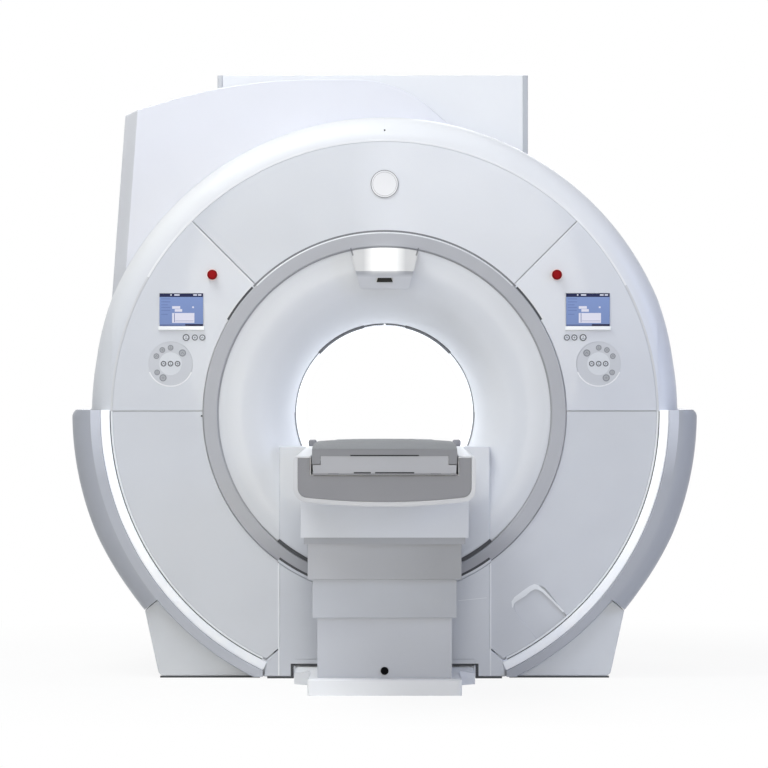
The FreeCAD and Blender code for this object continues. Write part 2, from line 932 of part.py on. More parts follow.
def dock_column_cover():
    """The cover in front of the bore's lower half: feet, a channel for the cradle, a groove
    for the trim ring and a notch for the table's base."""
    body = new_body("column_blank")
    foot, side = column_foot_half_width, s.column_half_width
    shoulder = foot - s.column_foot_lean
    knee, top, floor = s.column_foot_height, column_top, deck_height
    hip, low = knee + s.column_foot_rise, s.floor_gap
    notch, bay = base_dock_half_width + s.seat_gap, channel_half_width
    roof = s.base_height + s.notch_clearance
    corners = [
        (-foot, low), (-notch, low), (-notch, roof), (notch, roof), (notch, low),
        (foot, low), (shoulder, knee), (side, hip), (side, top), (bay, top), (bay, floor),
        (-bay, floor), (-bay, top), (-side, top), (-side, hip), (-shoulder, knee),
    ]
    depth, wall = s.column_depth, s.column_wall
    pad(body, outline(new_sketch(body, "XZ_Plane", column_back), corners), depth)
    inside, ceiling, well = side - wall, top - wall, floor - wall
    hollow = [(-inside, 0), (inside, 0), (inside, ceiling), (bay + wall, ceiling), (bay + wall, well),
              (-bay - wall, well), (-bay - wall, ceiling), (-inside, ceiling)]
    sketch = outline(new_sketch(body, "XZ_Plane", column_back), hollow)
    pocket(body, sketch, depth - s.column_front_wall, reverse=True)
    groove = bore_body("ring_groove")
    near, far, front = ring_inner_radius - s.groove_gap, ring_outer_radius + s.groove_gap, column_front + s.panel_gap
    revolve(groove, [(near, -front), (far, -front), (far, -ring_seat), (near, -ring_seat)])
    return node(cut("dock_column_cover", body, groove), "dock_column_cover")


def wing_left():
    """The curved bumper beside the shell: a broad upper part and a band that runs to the floor."""
    inner, outer, band, front, edge = wing_inner_radius, wing_outer_radius, wing_band_radius, wing_front, s.wing_edge
    back = front - wing_round
    steps = int(s.wing_steps.number)
    rounded = [(radius, -along) for radius, along in arc_points((band, back), wing_round, 0, steps)]
    broad = bore_body("wing_broad")
    rear = s.rear_distance - s.wing_rear_inset
    revolve(broad, [(inner, edge - front), (inner + edge, -front)] + rounded[::-1] + [(outer, rear), (inner, rear)])
    narrow = bore_body("wing_narrow")
    revolve(narrow, [(inner, edge - front), (inner + edge, -front), (band - edge, -front),
                     (band, edge - front), (band, -back), (inner, -back)])
    upper = common("wing_upper", broad, sector_space("wing_upper_sector", s.wing_top_angle, s.wing_end_angle))
    lower = common("wing_lower", narrow, sector_space("wing_lower_sector", s.wing_top_angle, s.wing_foot_angle))
    whole = fuse("wing_whole", upper, lower)
    return node(cut("wing_left", whole, shell_room, column_room, floor_room), "wing_left")


def light_strip_left():
    body = bore_body("strip_blank")
    inner, outer = panel_radius + s.panel_gap * 2, wing_inner_radius - s.seat_gap
    front, back = s.face_distance + s.strip_proud, s.face_distance - s.shoulder_radius
    revolve(body, [(inner, -front), (outer, -front), (outer, -back), (inner, -back)])
    part = common("strip_sector", body, sector_space("strip_sector_space", s.wing_top_angle, s.strip_end_angle))
    return node(cut("light_strip_left", part, shell_room, column_room), "light_strip_left")


def foot_cover_left():
    """The cover that fills the corner between the shell, the wing's end and the floor."""
    body = bore_body("foot_blank")
    low = s.floor_gap - isocentre_height
    start = s.wing_end_angle + 0.1
    band = wing_band_radius + s.seat_gap
    inner = leg(band, low)
    top = polar(wing_outer_radius, start)
    corner = top[0] + s.foot_rake
    corners = [top, (corner, low), (-inner, low), polar(band, start)]
    rear = s.rear_distance - s.foot_rear_inset
    sketch = outline(new_sketch(body, "XZ_Plane", -rear), corners, {2: -band})
    pad(body, sketch, rear + s.face_distance - s.foot_inset)

    def at_outer_corner(edge):
        middle = edge.CenterOfMass
        return abs(middle.x - corner.number) < 0.1 and abs(middle.z - low.number) < 0.1 and edge.Length > 100

    fillet(body, s.foot_corner, at_outer_corner)
    return node(cut("foot_cover_left", body, shell_room), "foot_cover_left")


def turret_block(name, inset):
    """The turret's outline, padded; inset makes the hollow inside it."""
    body = new_body(name)
    crown = turret_crown - inset
    fall_radius, angle = s.turret_fall_radius - inset, s.turret_fall_angle
    fall_x = fall_radius * sine(angle) - s.turret_crown_end
    fall_z = crown - fall_radius * (1 - cosine(angle))
    end_x = fall_x + s.turret_fall_length * cosine(angle)
    end_z = fall_z - s.turret_fall_length * sine(angle)
    left = s.turret_left_inset - s.shell_radius + inset
    waist = s.turret_waist_inset - s.shell_radius + inset
    left_top = isocentre_height + s.shell_radius + s.turret_left_rise - inset
    waist_height = isocentre_height + s.turret_waist_rise
    corners = [
        (left, left_top), (waist, waist_height), (0, waist_height), (end_x, end_z), (fall_x, fall_z),
        (-s.turret_crown_end, crown), (-s.turret_crown_start, crown),
    ]
    rear = s.service_front - s.service_rib_proud - s.seat_gap - inset
    front = s.face_distance - s.turret_front_inset - inset
    sketch = new_sketch(body, "XZ_Plane", -rear)
    outline(sketch, corners, {4: fall_radius, 6: s.turret_crown_radius - inset})
    pad(body, sketch, front + rear)

    def left_front(edge):
        middle = edge.CenterOfMass
        return (abs(middle.y + front.number) < 0.1 and middle.x < left.number
                and abs(edge.BoundBox.YLength) < 0.1 and middle.z > waist_height.number + 1)

    fillet(body, s.turret_bevel, left_front, "PartDesign::Chamfer", "Size")
    return body


def turret_cover():
    block = turret_block("turret_outside", 0 * s.turret_wall)
    hollow = turret_block("turret_inside", s.turret_wall)
    return node(cut("turret_cover", block, hollow, shell_room), "turret_cover")


def service_box():
    """The box over the vent pipe, with a proud rib down each front edge."""
    left, right, top = -s.service_left, s.service_right, service_top
    front, rear, low = s.service_front, s.rear_distance - s.service_rear_inset, isocentre_height
    wall, rib, proud = s.service_wall, s.service_rib, s.service_rib_proud
    outside = box("service_outside", left + rib, right - rib, front, rear, low, top)
    ribs = [box("service_rib_left", left, left + rib, front - proud, rear, low, top),
            box("service_rib_right", right - rib, right, front - proud, rear, low, top)]
    inside = box("service_inside", left + rib, right - rib, front + wall, rear - wall, low, top - wall)
    hole = upright_cylinder("service_hole", s.vent_radius + s.panel_gap, s.vent_x, s.vent_y, low, top + wall)
    whole = fuse("service_whole", outside, *ribs)
    return node(cut("service_box", whole, inside, hole, shell_room), "service_box")


# ---- what stands on and under the magnet

def magnet_seat():
    """The magnet's outside, one seat gap larger, that saddles and flanges are cut to."""
    item = document.addObject("Part::Cylinder", "magnet_seat")
    bind(item, "Radius", magnet_outer_radius + s.seat_gap)
    bind(item, "Height", magnet_half_length * 2)
    item.Placement.Rotation = FreeCAD.Rotation(Vector(1, 0, 0), -90)
    place(item, 0, -magnet_half_length, isocentre_height)
    return item


def cold_head(seat):
    x, y, low, top = -s.cold_x, -s.cold_y, isocentre_height, turret_crown - s.cold_top_gap
    reach = s.cold_x - s.cold_flange_radius
    surface = isocentre_height + leg(magnet_outer_radius, reach)
    flange = upright_cylinder("cold_flange", s.cold_flange_radius, x, y, low, surface + s.cold_flange_height)
    neck = upright_cylinder("cold_neck", s.cold_neck_radius, x, y, low, top)
    half = s.cold_motor_half
    motor = box("cold_motor", x - half, x + half, y - half, y + half, top - s.cold_motor_height, top)
    return node(cut("cold_head", fuse("cold_whole", flange, neck, motor), seat), "cold_head")


def vent_pipe(seat):
    x, y, low, top = s.vent_x, s.vent_y, isocentre_height, service_top - s.panel_gap
    outside = upright_cylinder("vent_outside", s.vent_radius, x, y, low, top)
    inside = upright_cylinder("vent_inside", s.vent_bore, x, y, low, top + s.vent_bore)
    return node(cut("vent_pipe", outside, inside, seat), "vent_pipe")


def base_frame():
    """Two saddles under the magnet on two long beams, with a cross tie between them and an
    anchor hole at each corner."""
    pieces = []
    half, beam, long = s.frame_half_width, s.beam_height, s.frame_half_length
    station = magnet_half_length - s.saddle_station_inset - s.saddle_thickness
    low, radius = -isocentre_height, magnet_outer_radius + s.seat_gap
    horn = half - s.saddle_inset
    for end, offset in (("front", station), ("rear", -station - s.saddle_thickness)):
        body = bore_body(f"saddle_{end}")
        corners = [(-half, low), (half, low), (half, low + beam), (horn, -leg(radius, horn)),
                   (-horn, -leg(radius, horn)), (-half, low + beam)]
        pad(body, outline(new_sketch(body, "XZ_Plane", offset), corners, {3: -radius}), s.saddle_thickness)
        pieces.append(body)
    inner, tie, floor = half - s.beam_width, s.beam_width / 2, 0 * half
    pieces.append(box("beam_left", -half, -inner, -long, long, floor, beam))
    pieces.append(box("beam_right", inner, half, -long, long, floor, beam))
    pieces.append(box("cross_tie", -inner, inner, -tie, tie, floor, beam))
    holes = []
    middle, row = half - tie, long - s.anchor_inset
    for index, (x, y) in enumerate(((1, 1), (1, -1), (-1, 1), (-1, -1))):
        holes.append(upright_cylinder(f"anchor_{index}", s.anchor_radius, middle * x, row * y, -beam, beam * 2))
    return node(cut("base_frame", fuse("frame_whole", *pieces), *holes), "base_frame")


# ---- displays, keys, stop buttons, hood and badge

def display_place():
    return polar(display_radius, s.display_angle)


def keypad_place():
    return polar(panel_radius - s.keypad_inset, s.keypad_angle)


def stop_place():
    return polar(panel_radius - s.stop_inset, s.stop_angle)


def key_places():
    """Place and radius of each key in the row under the display, outermost first."""
    x, z = display_place()
    row = z - s.key_drop
    return [((x - s.key_outer_shift, row), s.key_large_radius), ((x - s.key_middle_shift, row), s.key_small_radius),
            ((x - s.key_inner_shift, row), s.key_small_radius)]


def side_name(sign):
    return "left" if sign < 0 else "right"


def front_body(label, sign, spot):
    """A body at a place on the front panels, on the left where sign is negative."""
    return bore_body(label, spot[0] * sign, spot[1])


def display(sign):
    """A framed screen with a light ledge under it."""
    label = f"display_{side_name(sign)}"
    body = front_body(label, sign, display_place())
    width, rise = s.display_width / 2, s.display_rise / 2
    front, face = s.face_distance + s.display_proud, s.face_distance + s.seat_gap
    depth = s.display_depth
    pad(body, rectangle(new_sketch(body, "XZ_Plane", front - depth), -width, width, -rise, rise), depth)
    ledge = rectangle(new_sketch(body, "XZ_Plane", face), -width - s.ledge_side, width + s.ledge_side,
                      -rise - s.ledge_height, -rise)
    pad(body, ledge, s.ledge_proud)
    frame = s.display_frame
    screen = rectangle(new_sketch(body, "XZ_Plane", front), frame - width, width - frame,
                       frame - rise, rise - frame)
    pocket(body, screen, s.screen_depth)
    return node(body, label)


def keypad(sign):
    """A round plate with a raised middle and nine raised key fields, all one moulding."""
    label = f"keypad_{side_name(sign)}"
    body = front_body(label, sign, keypad_place())
    back = s.face_distance - s.panel_thickness
    depth, step = s.panel_thickness - s.keypad_floor, s.keypad_key_rise
    pad(body, disc(new_sketch(body, "XZ_Plane", back), 0, 0, s.keypad_radius), depth)
    middle = prism(new_sketch(body, "XZ_Plane", back), 0, 0, s.keypad_inner_radius, s.keypad_inner_sides)
    pad(body, middle, depth + step)
    outer_keys = new_sketch(body, "XZ_Plane", back)
    for angle, large in KEYPAD_KEYS:
        u, v = polar(s.keypad_circle, angle)
        radius = s.key_large_radius if large else s.key_small_radius
        prism(outer_keys, u if sign < 0 else -u, v, radius, s.key_sides)
    pad(body, outer_keys, depth + step)
    inner_keys = new_sketch(body, "XZ_Plane", back)
    for place_ in (-1, 0, 1):
        prism(inner_keys, s.keypad_pitch * place_, 0, s.key_small_radius, s.key_sides)
    pad(body, inner_keys, depth + step * 2)
    return node(body, label)


def screen_key(sign, index, spot, radius):
    """A push key held by a flange behind the panel."""
    label = f"key_{side_name(sign)}_{index}"
    body = front_body(label, sign, spot)
    back = s.face_distance - s.panel_thickness - s.seat_gap
    start = back - s.key_flange
    sides = s.key_sides
    pad(body, prism(new_sketch(body, "XZ_Plane", start), 0, 0, radius + s.key_flange, sides), s.key_flange)
    front = s.face_distance + s.key_proud
    pad(body, prism(new_sketch(body, "XZ_Plane", start), 0, 0, radius, sides), front - start)
    return node(body, label)


def stop_button(sign):
    """A red mushroom head on a stem that is held by a flange behind the panel."""
    label = f"stop_button_{side_name(sign)}"
    body = front_body(label, sign, stop_place())
    back = s.face_distance - s.panel_thickness - s.seat_gap
    start, under = back - s.key_flange, s.face_distance + s.stop_lift
    sides, stem = s.stop_sides, s.stop_stem_radius
    pad(body, prism(new_sketch(body, "XZ_Plane", start), 0, 0, stem + s.key_flange * 2, sides), s.key_flange)
    pad(body, prism(new_sketch(body, "XZ_Plane", start), 0, 0, stem, sides), under - start)
    pad(body, prism(new_sketch(body, "XZ_Plane", under), 0, 0, s.stop_head_radius, sides), s.stop_head_height)
    front = -(under + s.stop_head_height).number

    def on_front(edge):
        return abs(edge.BoundBox.YMax - front) < 0.01

    fillet(body, s.stop_head_edge, on_front, "PartDesign::Chamfer", "Size")
    return node(body, label)


def bell_space():
    """The room behind the bell's surface, one seat gap larger."""
    body = bore_body("bell_space")
    gap = s.seat_gap
    mouth = flare_points(flare_radius + gap, int(s.flare_steps.number), crest_radius, throat_distance)
    revolve(body, mouth + [(panel_radius, mouth[-1][1]), (panel_radius, 0), (mouth[0][0], 0)])
    return body


def camera_hood():
    """The tapered hood over the bore, its lower front sloped back, with a window in the slope."""
    body = bore_body("hood_blank")
    radius = ring_inner_radius - s.fit_gap
    wide, narrow, corner = s.hood_top_half, s.hood_bottom_half, s.hood_corner
    bottom, front = ring_inner_radius - s.hood_height, s.face_distance + s.hood_proud
    top = leg(radius, wide)
    lean = corner / 5
    corners = [(corner - narrow, bottom), (narrow - corner, bottom), (narrow + lean, bottom + corner),
               (wide, top), (-wide, top), (-narrow - lean, bottom + corner)]
    sketch = outline(new_sketch(body, "XZ_Plane", throat_distance), corners, {1: corner, 3: radius, 5: corner})
    pad(body, sketch, front - throat_distance)
    slope = new_sketch(body, "YZ_Plane", -wide)
    outline(slope, [(-front - corner, bottom - corner), (s.hood_slope_depth - front, bottom - corner),
                    (s.hood_slope_depth - front, bottom), (-front, bottom + s.hood_slope_height),
                    (-front - corner, bottom + s.hood_slope_height)])
    pocket(body, slope, wide * 2, reverse=True)
    gap = s.seat_gap
    half, rise, middle = s.window_half_width, s.window_rise / 2, bottom + s.window_height
    bay = new_sketch(body, "XZ_Plane", front)
    rectangle(bay, -half - gap, half + gap, middle - rise - gap, middle + rise + gap)
    pocket(body, bay, s.window_set_back)
    window = bore_body("laser_window")
    sketch = new_sketch(window, "XZ_Plane", front - s.window_set_back + gap)
    pad(window, rectangle(sketch, -half, half, middle - rise, middle + rise), s.window_set_back / 3)
    node(window, "laser_window")
    return node(cut("camera_hood", body, bell_space()), "camera_hood")


def badge_disc():
    """A plain disc on the top panel."""
    body = bore_body("badge_disc", 0, panel_radius - s.badge_inset)
    sketch = new_sketch(body, "XZ_Plane", s.face_distance + s.seat_gap)
    pad(body, disc(sketch, 0, 0, s.badge_radius), s.badge_thickness)
    return node(body, "badge_disc")


# ---- table base, lifting column and covers

def table_base():
    """A floor plate, narrow in front and wide where it docks, with four anchor holes."""
    body = new_body("table_base")
    narrow, wide = cover_half_width + s.base_side, base_dock_half_width
    front, rear = -cover_front - s.base_front_side, s.base_dock_reach - s.face_distance
    step, slope, corner = rear - s.base_dock_length, wide - narrow, s.base_corner
    corners = [(corner - narrow, front), (narrow - corner, front), (narrow, front + corner),
               (narrow, step - slope), (wide, step), (wide, rear), (-wide, rear), (-wide, step),
               (-narrow, step - slope), (-narrow, front + corner)]
    pad(body, outline(new_sketch(body, "XY_Plane"), corners, {1: corner, 9: corner}), s.base_height)
    top = s.base_height.number

    def on_top(edge):
        return abs(edge.BoundBox.ZMin - top) < 0.1 and abs(edge.BoundBox.ZMax - top) < 0.1

    fillet(body, s.base_edge, on_top, "PartDesign::Chamfer", "Size")
    holes = new_sketch(body, "XY_Plane", s.base_height)
    for y in (s.base_anchor_front_inset - cover_front, -cover_rear - s.base_anchor_rear_inset):
        for x in (s.base_anchor_x, -s.base_anchor_x):
            disc(holes, x, y, s.base_anchor_radius)
    pocket(body, holes, s.base_height)
    return node(body, "table_base")


def ring_pad(body, grow, hole_shrink, low, high):
    """A rectangular ring round the pedestal, grown from the lowest cover, padded from low to high."""
    sketch = new_sketch(body, "XY_Plane", low)
    for size in (grow, grow - hole_shrink):
        half = cover_half_width + size
        rectangle(sketch, -half, half, -cover_front - size, size - cover_rear)
    pad(body, sketch, high - low)


def stage_cover(number, low, high, with_lip):
    """One telescoping cover: each is one step larger all round than the next one down. Its top
    flange rests on the lip of the cover above it, and its own lip carries the flange below."""
    label = f"lift_cover_{number}"
    body = new_body(label)
    grow = s.cover_step * (4 - number)
    wall, lip, slack = s.cover_wall, s.cover_lip, s.cover_slack
    ring_pad(body, grow, wall, low, high + lip)
    spread = s.cover_step - wall - slack
    ring_pad(body, grow + spread, spread + wall, high, high + lip)
    if with_lip:
        ring_pad(body, grow, s.cover_step - slack, low, low + lip)
    return node(body, label)


def table_outline(sketch, grow):
    """The table body's section: a tub with rounded lower corners and a bay for the cradle."""
    half, top, bottom = table_half_width + grow, table_top + grow, table_bottom - grow
    corner, sag = s.tub_corner + grow, s.tub_sag
    round_, edge = s.rail_round + grow, s.rail_edge
    bay, floor = bay_half_width, bay_floor
    low, shin = bottom + sag, half - corner
    under = (shin * shin + sag * sag) / (sag * 2)
    corners = [
        (-shin, low), (shin, low), (half, low + corner), (half, top - round_), (half - round_, top),
        (bay + edge, top), (bay, top - edge), (bay, floor), (-bay, floor), (-bay, top - edge),
        (-bay - edge, top), (round_ - half, top), (-half, top - round_), (-half, low + corner),
    ]
    bends = {0: under, 1: corner, 3: round_, 5: edge, 9: edge, 11: round_, 13: corner}
    return outline(sketch, corners, bends)


def cap_outline(sketch, grow, notch):
    """The end cap's outline, set in from the table's section."""
    half, corner, sag = table_half_width - s.cap_inset + grow, s.tub_corner - s.cap_inset, s.tub_sag
    low = table_bottom + sag + s.cap_inset - grow
    top = table_top - s.cap_top_drop + grow
    shin = half - corner
    under = (shin * shin + sag * sag) / (sag * 2)
    corners = [(-shin, low), (shin, low), (half, low + corner), (half, top), (-half, top), (-half, low + corner)]
    bends = {0: under, 1: corner, 5: corner}
    if notch:
        bay, floor = bay_half_width + s.panel_gap, bay_floor - s.panel_gap
        corners[4:4] = [(bay, top), (bay, floor), (-bay, floor), (-bay, top)]
        bends = {0: under, 1: corner, 9: corner}
    return outline(sketch, corners, bends)


def table_body():
    body = new_body("table_body")
    pad(body, table_outline(new_sketch(body, "XZ_Plane", table_rear), 0 * s.seat_gap), s.table_length)
    sketch = cap_outline(new_sketch(body, "XZ_Plane", table_front), s.seat_gap, False)
    pocket(body, sketch, s.cap_pocket)
    return node(body, "table_body")


def table_end_cap():
    body = new_body("table_end_cap")
    back = table_front - s.cap_pocket + s.seat_gap
    sketch = cap_outline(new_sketch(body, "XZ_Plane", back), 0 * s.seat_gap, True)
    pad(body, sketch, s.cap_thickness)
    return node(body, "table_end_cap")


def lift_cover_1():
    """The skirt fixed under the table body, with a narrower lip that carries the next cover."""
    body = new_body("skirt_blank")
    wall, low, slack, lip = s.cover_1_wall, cover_1_bottom, s.cover_slack, s.cover_1_lip_height
    outside = s.cover_inset
    opening = s.cover_step * 2 + slack
    high = table_bottom + s.tub_sag + s.cover_1_overlap
    ring_pad(body, outside, wall, low + lip, high)
    inset = outside - wall - slack
    ring_pad(body, inset, inset - opening, low, low + lip)
    ring_pad(body, outside, outside - opening, low + lip - s.cover_lip, low + lip)
    room = new_body("table_space")
    pad(room, table_outline(new_sketch(room, "XZ_Plane", table_rear), s.seat_gap), s.table_length)
    return node(cut("lift_cover_1", body, room), "lift_cover_1")


def square_tube(label, width, length, low, high, capped=False):
    body = new_body(label, 0, -pedestal_y, 0)
    x, y, wall = width / 2, length / 2, s.column_tube_wall
    pad(body, rectangle(new_sketch(body, "XY_Plane", low), -x, x, -y, y), high - low)
    roof = high - wall if capped else high
    hole = rectangle(new_sketch(body, "XY_Plane", low), wall - x, x - wall, wall - y, y - wall)
    pocket(body, hole, roof - low, reverse=True)
    return node(body, label)


def lifting_column():
    """Three square tubes, each sliding in the one below; the last carries the table body."""
    x, y, long = s.column_tube_x, s.column_tube_y, s.column_tube_length
    shrink = (s.column_tube_wall + s.fit_gap) * 2
    bottom, top = base_top, table_bottom - s.seat_gap
    middle = (bottom + top - long) / 2
    square_tube("lift_column_outer", x, y, bottom, bottom + long)
    square_tube("lift_column_middle", x - shrink, y - shrink, middle, middle + long)
    square_tube("lift_column_inner", x - shrink * 2, y - shrink * 2, top - long, top, capped=True)


def lift_motor():
    motor = upright_cylinder("lift_motor", s.motor_radius, 0, s.motor_inset - cover_front, base_top,
                             base_top + s.motor_height)
    return node(motor, "lift_motor")


def cradle_drive():
    """The closed gear motor that moves the cradle, hung under the table body."""
    top, half, middle, reach = table_bottom - s.seat_gap, s.drive_half_width, s.drive_inset - cover_front, s.drive_length / 2
    return node(box("cradle_drive", -half, half, middle - reach, middle + reach, top - s.drive_height, top),
                "cradle_drive")


def crank_plug():
    """The round plug over the hand crank's hole in the lowest cover."""
    body = new_body("crank_plug", 0, 0, s.base_height + s.plug_rise)
    inside = cover_front - s.cover_wall - s.cover_lip
    face = cover_front + s.seat_gap
    sides = s.plug_sides
    pad(body, prism(new_sketch(body, "XZ_Plane", inside), 0, 0, s.plug_stem_radius, sides), face - inside)
    pad(body, prism(new_sketch(body, "XZ_Plane", face), 0, 0, s.plug_radius, sides), s.plug_proud)
    return node(body, "crank_plug")


def lowest_cover():
    """The fixed cover, with the crank's hole through its front."""
    cover = stage_cover(4, base_top, cover_4_top, False)
    sketch = new_sketch(cover, "XZ_Plane", cover_front)
    prism(sketch, 0, s.base_height + s.plug_rise, s.plug_stem_radius + s.fit_gap, s.plug_sides)
    pocket(cover, sketch, s.cover_wall)
    return cover


# ---- cradle and what it carries

def handle_widths():
    """Half widths of the pull handle: its foot, and the plate above."""
    return s.cradle_half_width - s.handle_foot_inset, s.cradle_half_width - s.handle_inset


def handle_axis():
    return s.handle_axis_back - cradle_front, cradle_bottom + s.handle_axis_rise


def cradle():
    """The tray that carries the patient: low rims, two runners, a raised foot block with a bay
    for the pull handle, and a pin hole on each side of the bay."""
    body = new_body("cradle")
    half, top, bottom, chamfer = s.cradle_half_width, cradle_top, cradle_bottom, s.cradle_chamfer
    rim, floor, slope = s.rim_width, cradle_floor, s.rim_slope
    run_out = half - s.runner_inset
    run_in, foot = run_out - s.runner_width, bay_floor + s.runner_gap
    under = bottom + s.underside_rise
    right = [(run_in, under), (run_in, foot), (run_out, foot), (run_out, bottom), (half - chamfer, bottom),
             (half, bottom + chamfer), (half, top), (half - rim, top), (half - rim - slope, floor)]
    corners = right + [(-u, v) for u, v in reversed(right)]
    pad(body, outline(new_sketch(body, "XZ_Plane", cradle_rear), corners), cradle_front - cradle_rear)
    start = cradle_front - s.foot_block_length
    block = rectangle(new_sketch(body, "XZ_Plane", start), rim - half, half - rim, floor - rim, top)
    pad(body, block, s.foot_block_length)
    wide, narrow = handle_widths()
    gap = s.handle_gap
    wide, narrow = wide + rim, narrow + gap
    step = bottom + s.handle_foot_height + s.handle_block_gap
    ceiling = bottom + s.handle_height + s.handle_block_gap
    bay = [(-wide, foot - gap), (wide, foot - gap), (wide, step), (narrow, step), (narrow, ceiling),
           (-narrow, ceiling), (-narrow, step), (-wide, step)]
    pocket(body, outline(new_sketch(body, "XZ_Plane", cradle_front), bay), s.handle_bay_depth)
    holes = new_sketch(body, "YZ_Plane", -half)
    disc(holes, *handle_axis(), s.pin_radius + s.pin_gap)
    pocket(body, holes, half * 2, reverse=True)
    return node(body, "cradle")


def cradle_end_handle():
    """The pull handle in the cradle's foot end: a plate, wider at its foot, that swings out on
    a pin at each side."""
    body = new_body("cradle_end_handle")
    wide, narrow = handle_widths()
    low = cradle_bottom
    step, top = low + s.handle_foot_height, low + s.handle_height
    corners = [(-wide, low), (wide, low), (wide, step), (narrow, step), (narrow, top),
               (-narrow, top), (-narrow, step), (-wide, step)]
    back = cradle_front - s.handle_gap - s.handle_thickness
    pad(body, outline(new_sketch(body, "XZ_Plane", back), corners), s.handle_thickness)
    pins = new_sketch(body, "YZ_Plane")
    disc(pins, *handle_axis(), s.pin_radius)
    pad(body, pins, (narrow + s.pin_length) * 2, symmetric=True)
    return node(body, "cradle_end_handle")


def foot_bolster():
    """The dark raised end on the cradle's foot block, where a long and a cross profile meet."""
    long = new_body("bolster_long")
    front, back = -cradle_front, s.foot_block_length - cradle_front
    low, nose, side = cradle_top + s.seat_gap, s.bolster_nose, s.bolster_edge
    top = cradle_top + s.bolster_height
    rise = top - low - side
    round_ = (nose * nose + rise * rise) / (rise * 2)
    corners = [(front, low), (back, low), (back, low + side), (front + nose, top), (front, low + side)]
    sketch = outline(new_sketch(long, "YZ_Plane", -s.cradle_half_width), corners, {3: round_})
    pad(long, sketch, s.cradle_half_width * 2)
    across = new_body("bolster_across")
    half, corner = s.cradle_half_width, s.bolster_side
    corners = [(-half, low), (half, low), (half, top - corner), (half - corner, top),
               (corner - half, top), (-half, top - corner)]
    sketch = outline(new_sketch(across, "XZ_Plane", -back), corners, {2: corner, 4: corner})
    pad(across, sketch, s.foot_block_length)
    return node(common("foot_bolster", long, across), "foot_bolster")


def pad_section(y, half, low, edge_top, crown):
    """One section of the pad: flat below, drawn-in sides, crowned top."""
    inner, middle, high = half - s.pad_edge.number, (low + edge_top) / 2, edge_top + crown
    right = [(inner, low), (half, middle), (inner, edge_top), (inner / 2, high - crown / 4)]
    corners = right + [(0, high)] + [(-x, z) for x, z in reversed(right)]
    return Part.makePolygon([Vector(x, y, z) for x, z in corners + corners[:1]])


def cradle_pad():
    """The mattress in the tray, with its ends rounded down and two sewn channels across."""
    floor = plain(cradle_floor + s.seat_gap)
    half = plain(s.cradle_half_width - s.rim_width - s.rim_slope - s.pad_side)
    top, crown, edge = plain(cradle_top + s.pad_proud), s.pad_crown.number, s.pad_edge.number
    front = plain(s.foot_block_length + s.pad_side - cradle_front)
    rear = -cradle_rear.number - edge
    length = rear - front
    stations = [(0, 0.45), (edge, 0.8), (edge * 3, 1)]
    for channel in (length / 3, length * 2 / 3):
        stations += [(channel - edge * 2, 1), (channel, 0.8), (channel + edge * 2, 1)]
    stations += [(length - edge * 3, 1), (length - edge, 0.8), (length, 0.45)]
    wires = []
    for along, swell in stations:
        edge_top = floor + (top - crown - floor) * swell
        wires.append(pad_section(front + along, half - edge * (1 - swell), floor, edge_top, crown * swell))
    item = document.addObject("Part::Feature", "cradle_pad")
    item.Shape = Part.makeLoft(wires, True, True)
    item.Placement = FreeCAD.Placement()
    return node(item, "cradle_pad")


def build():
    bore_parts()
    magnet_vessel()
    front_bell()
    rear_bell()
    trim_ring()
    bore_bridge()
    front_panel_top()
    node(mirrored("console_panel_right", console_panel_left()), "console_panel_right")
    lower_panel_right(lower_panel_left())
    shell_halves()
    rear_cover()
    dock_column_cover()
    node(mirrored("wing_right", wing_left()), "wing_right")
    node(mirrored("light_strip_right", light_strip_left()), "light_strip_right")
    node(mirrored("foot_cover_right", foot_cover_left()), "foot_cover_right")
    turret_cover()
    service_box()
    seat = magnet_seat()
    cold_head(seat)
    vent_pipe(seat)
    base_frame()
    for sign in (-1, 1):
        display(sign)
        keypad(sign)
        stop_button(sign)
        for index, (spot, radius) in enumerate(key_places(), start=1):
            screen_key(sign, index, spot, radius)
    camera_hood()
    badge_disc()
    table_base()
    lifting_column()
    lift_motor()
    cradle_drive()
    lowest_cover()
    stage_cover(3, cover_3_bottom, cover_3_top, True)
    stage_cover(2, cover_2_bottom, cover_2_top, True)
    lift_cover_1()
    crank_plug()
    table_body()
    table_end_cap()
    cradle()
    cradle_end_handle()
    foot_bolster()
    cradle_pad()


def check():
    """Stop if any object failed, or any sub-part is empty, broken or in several pieces."""
    for item in document.Objects:
        if "Invalid" in item.State or "Error" in item.State:
            raise RuntimeError(f"{item.Name} failed: {item.State}")
    faults = []
    for item in nodes:
        shape = item.Shape
        if shape.isNull() or not shape.isValid():
            faults.append(f"{item.Label} has no valid shape")
        elif len(shape.Solids) != 1:
            faults.append(f"{item.Label} has {len(shape.Solids)} solids")
    if faults:
        raise RuntimeError("; ".join(faults))


def export():
    os.makedirs("parts", exist_ok=True)
    for item in nodes:
        item.Shape.exportStep(f"parts/{item.Label}.step")
    print(f"{len(nodes)} sub-parts written")


build()
document.recompute()
check()
export()
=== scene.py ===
import json
import math

import bmesh
import bpy
from mathutils import Matrix, Vector

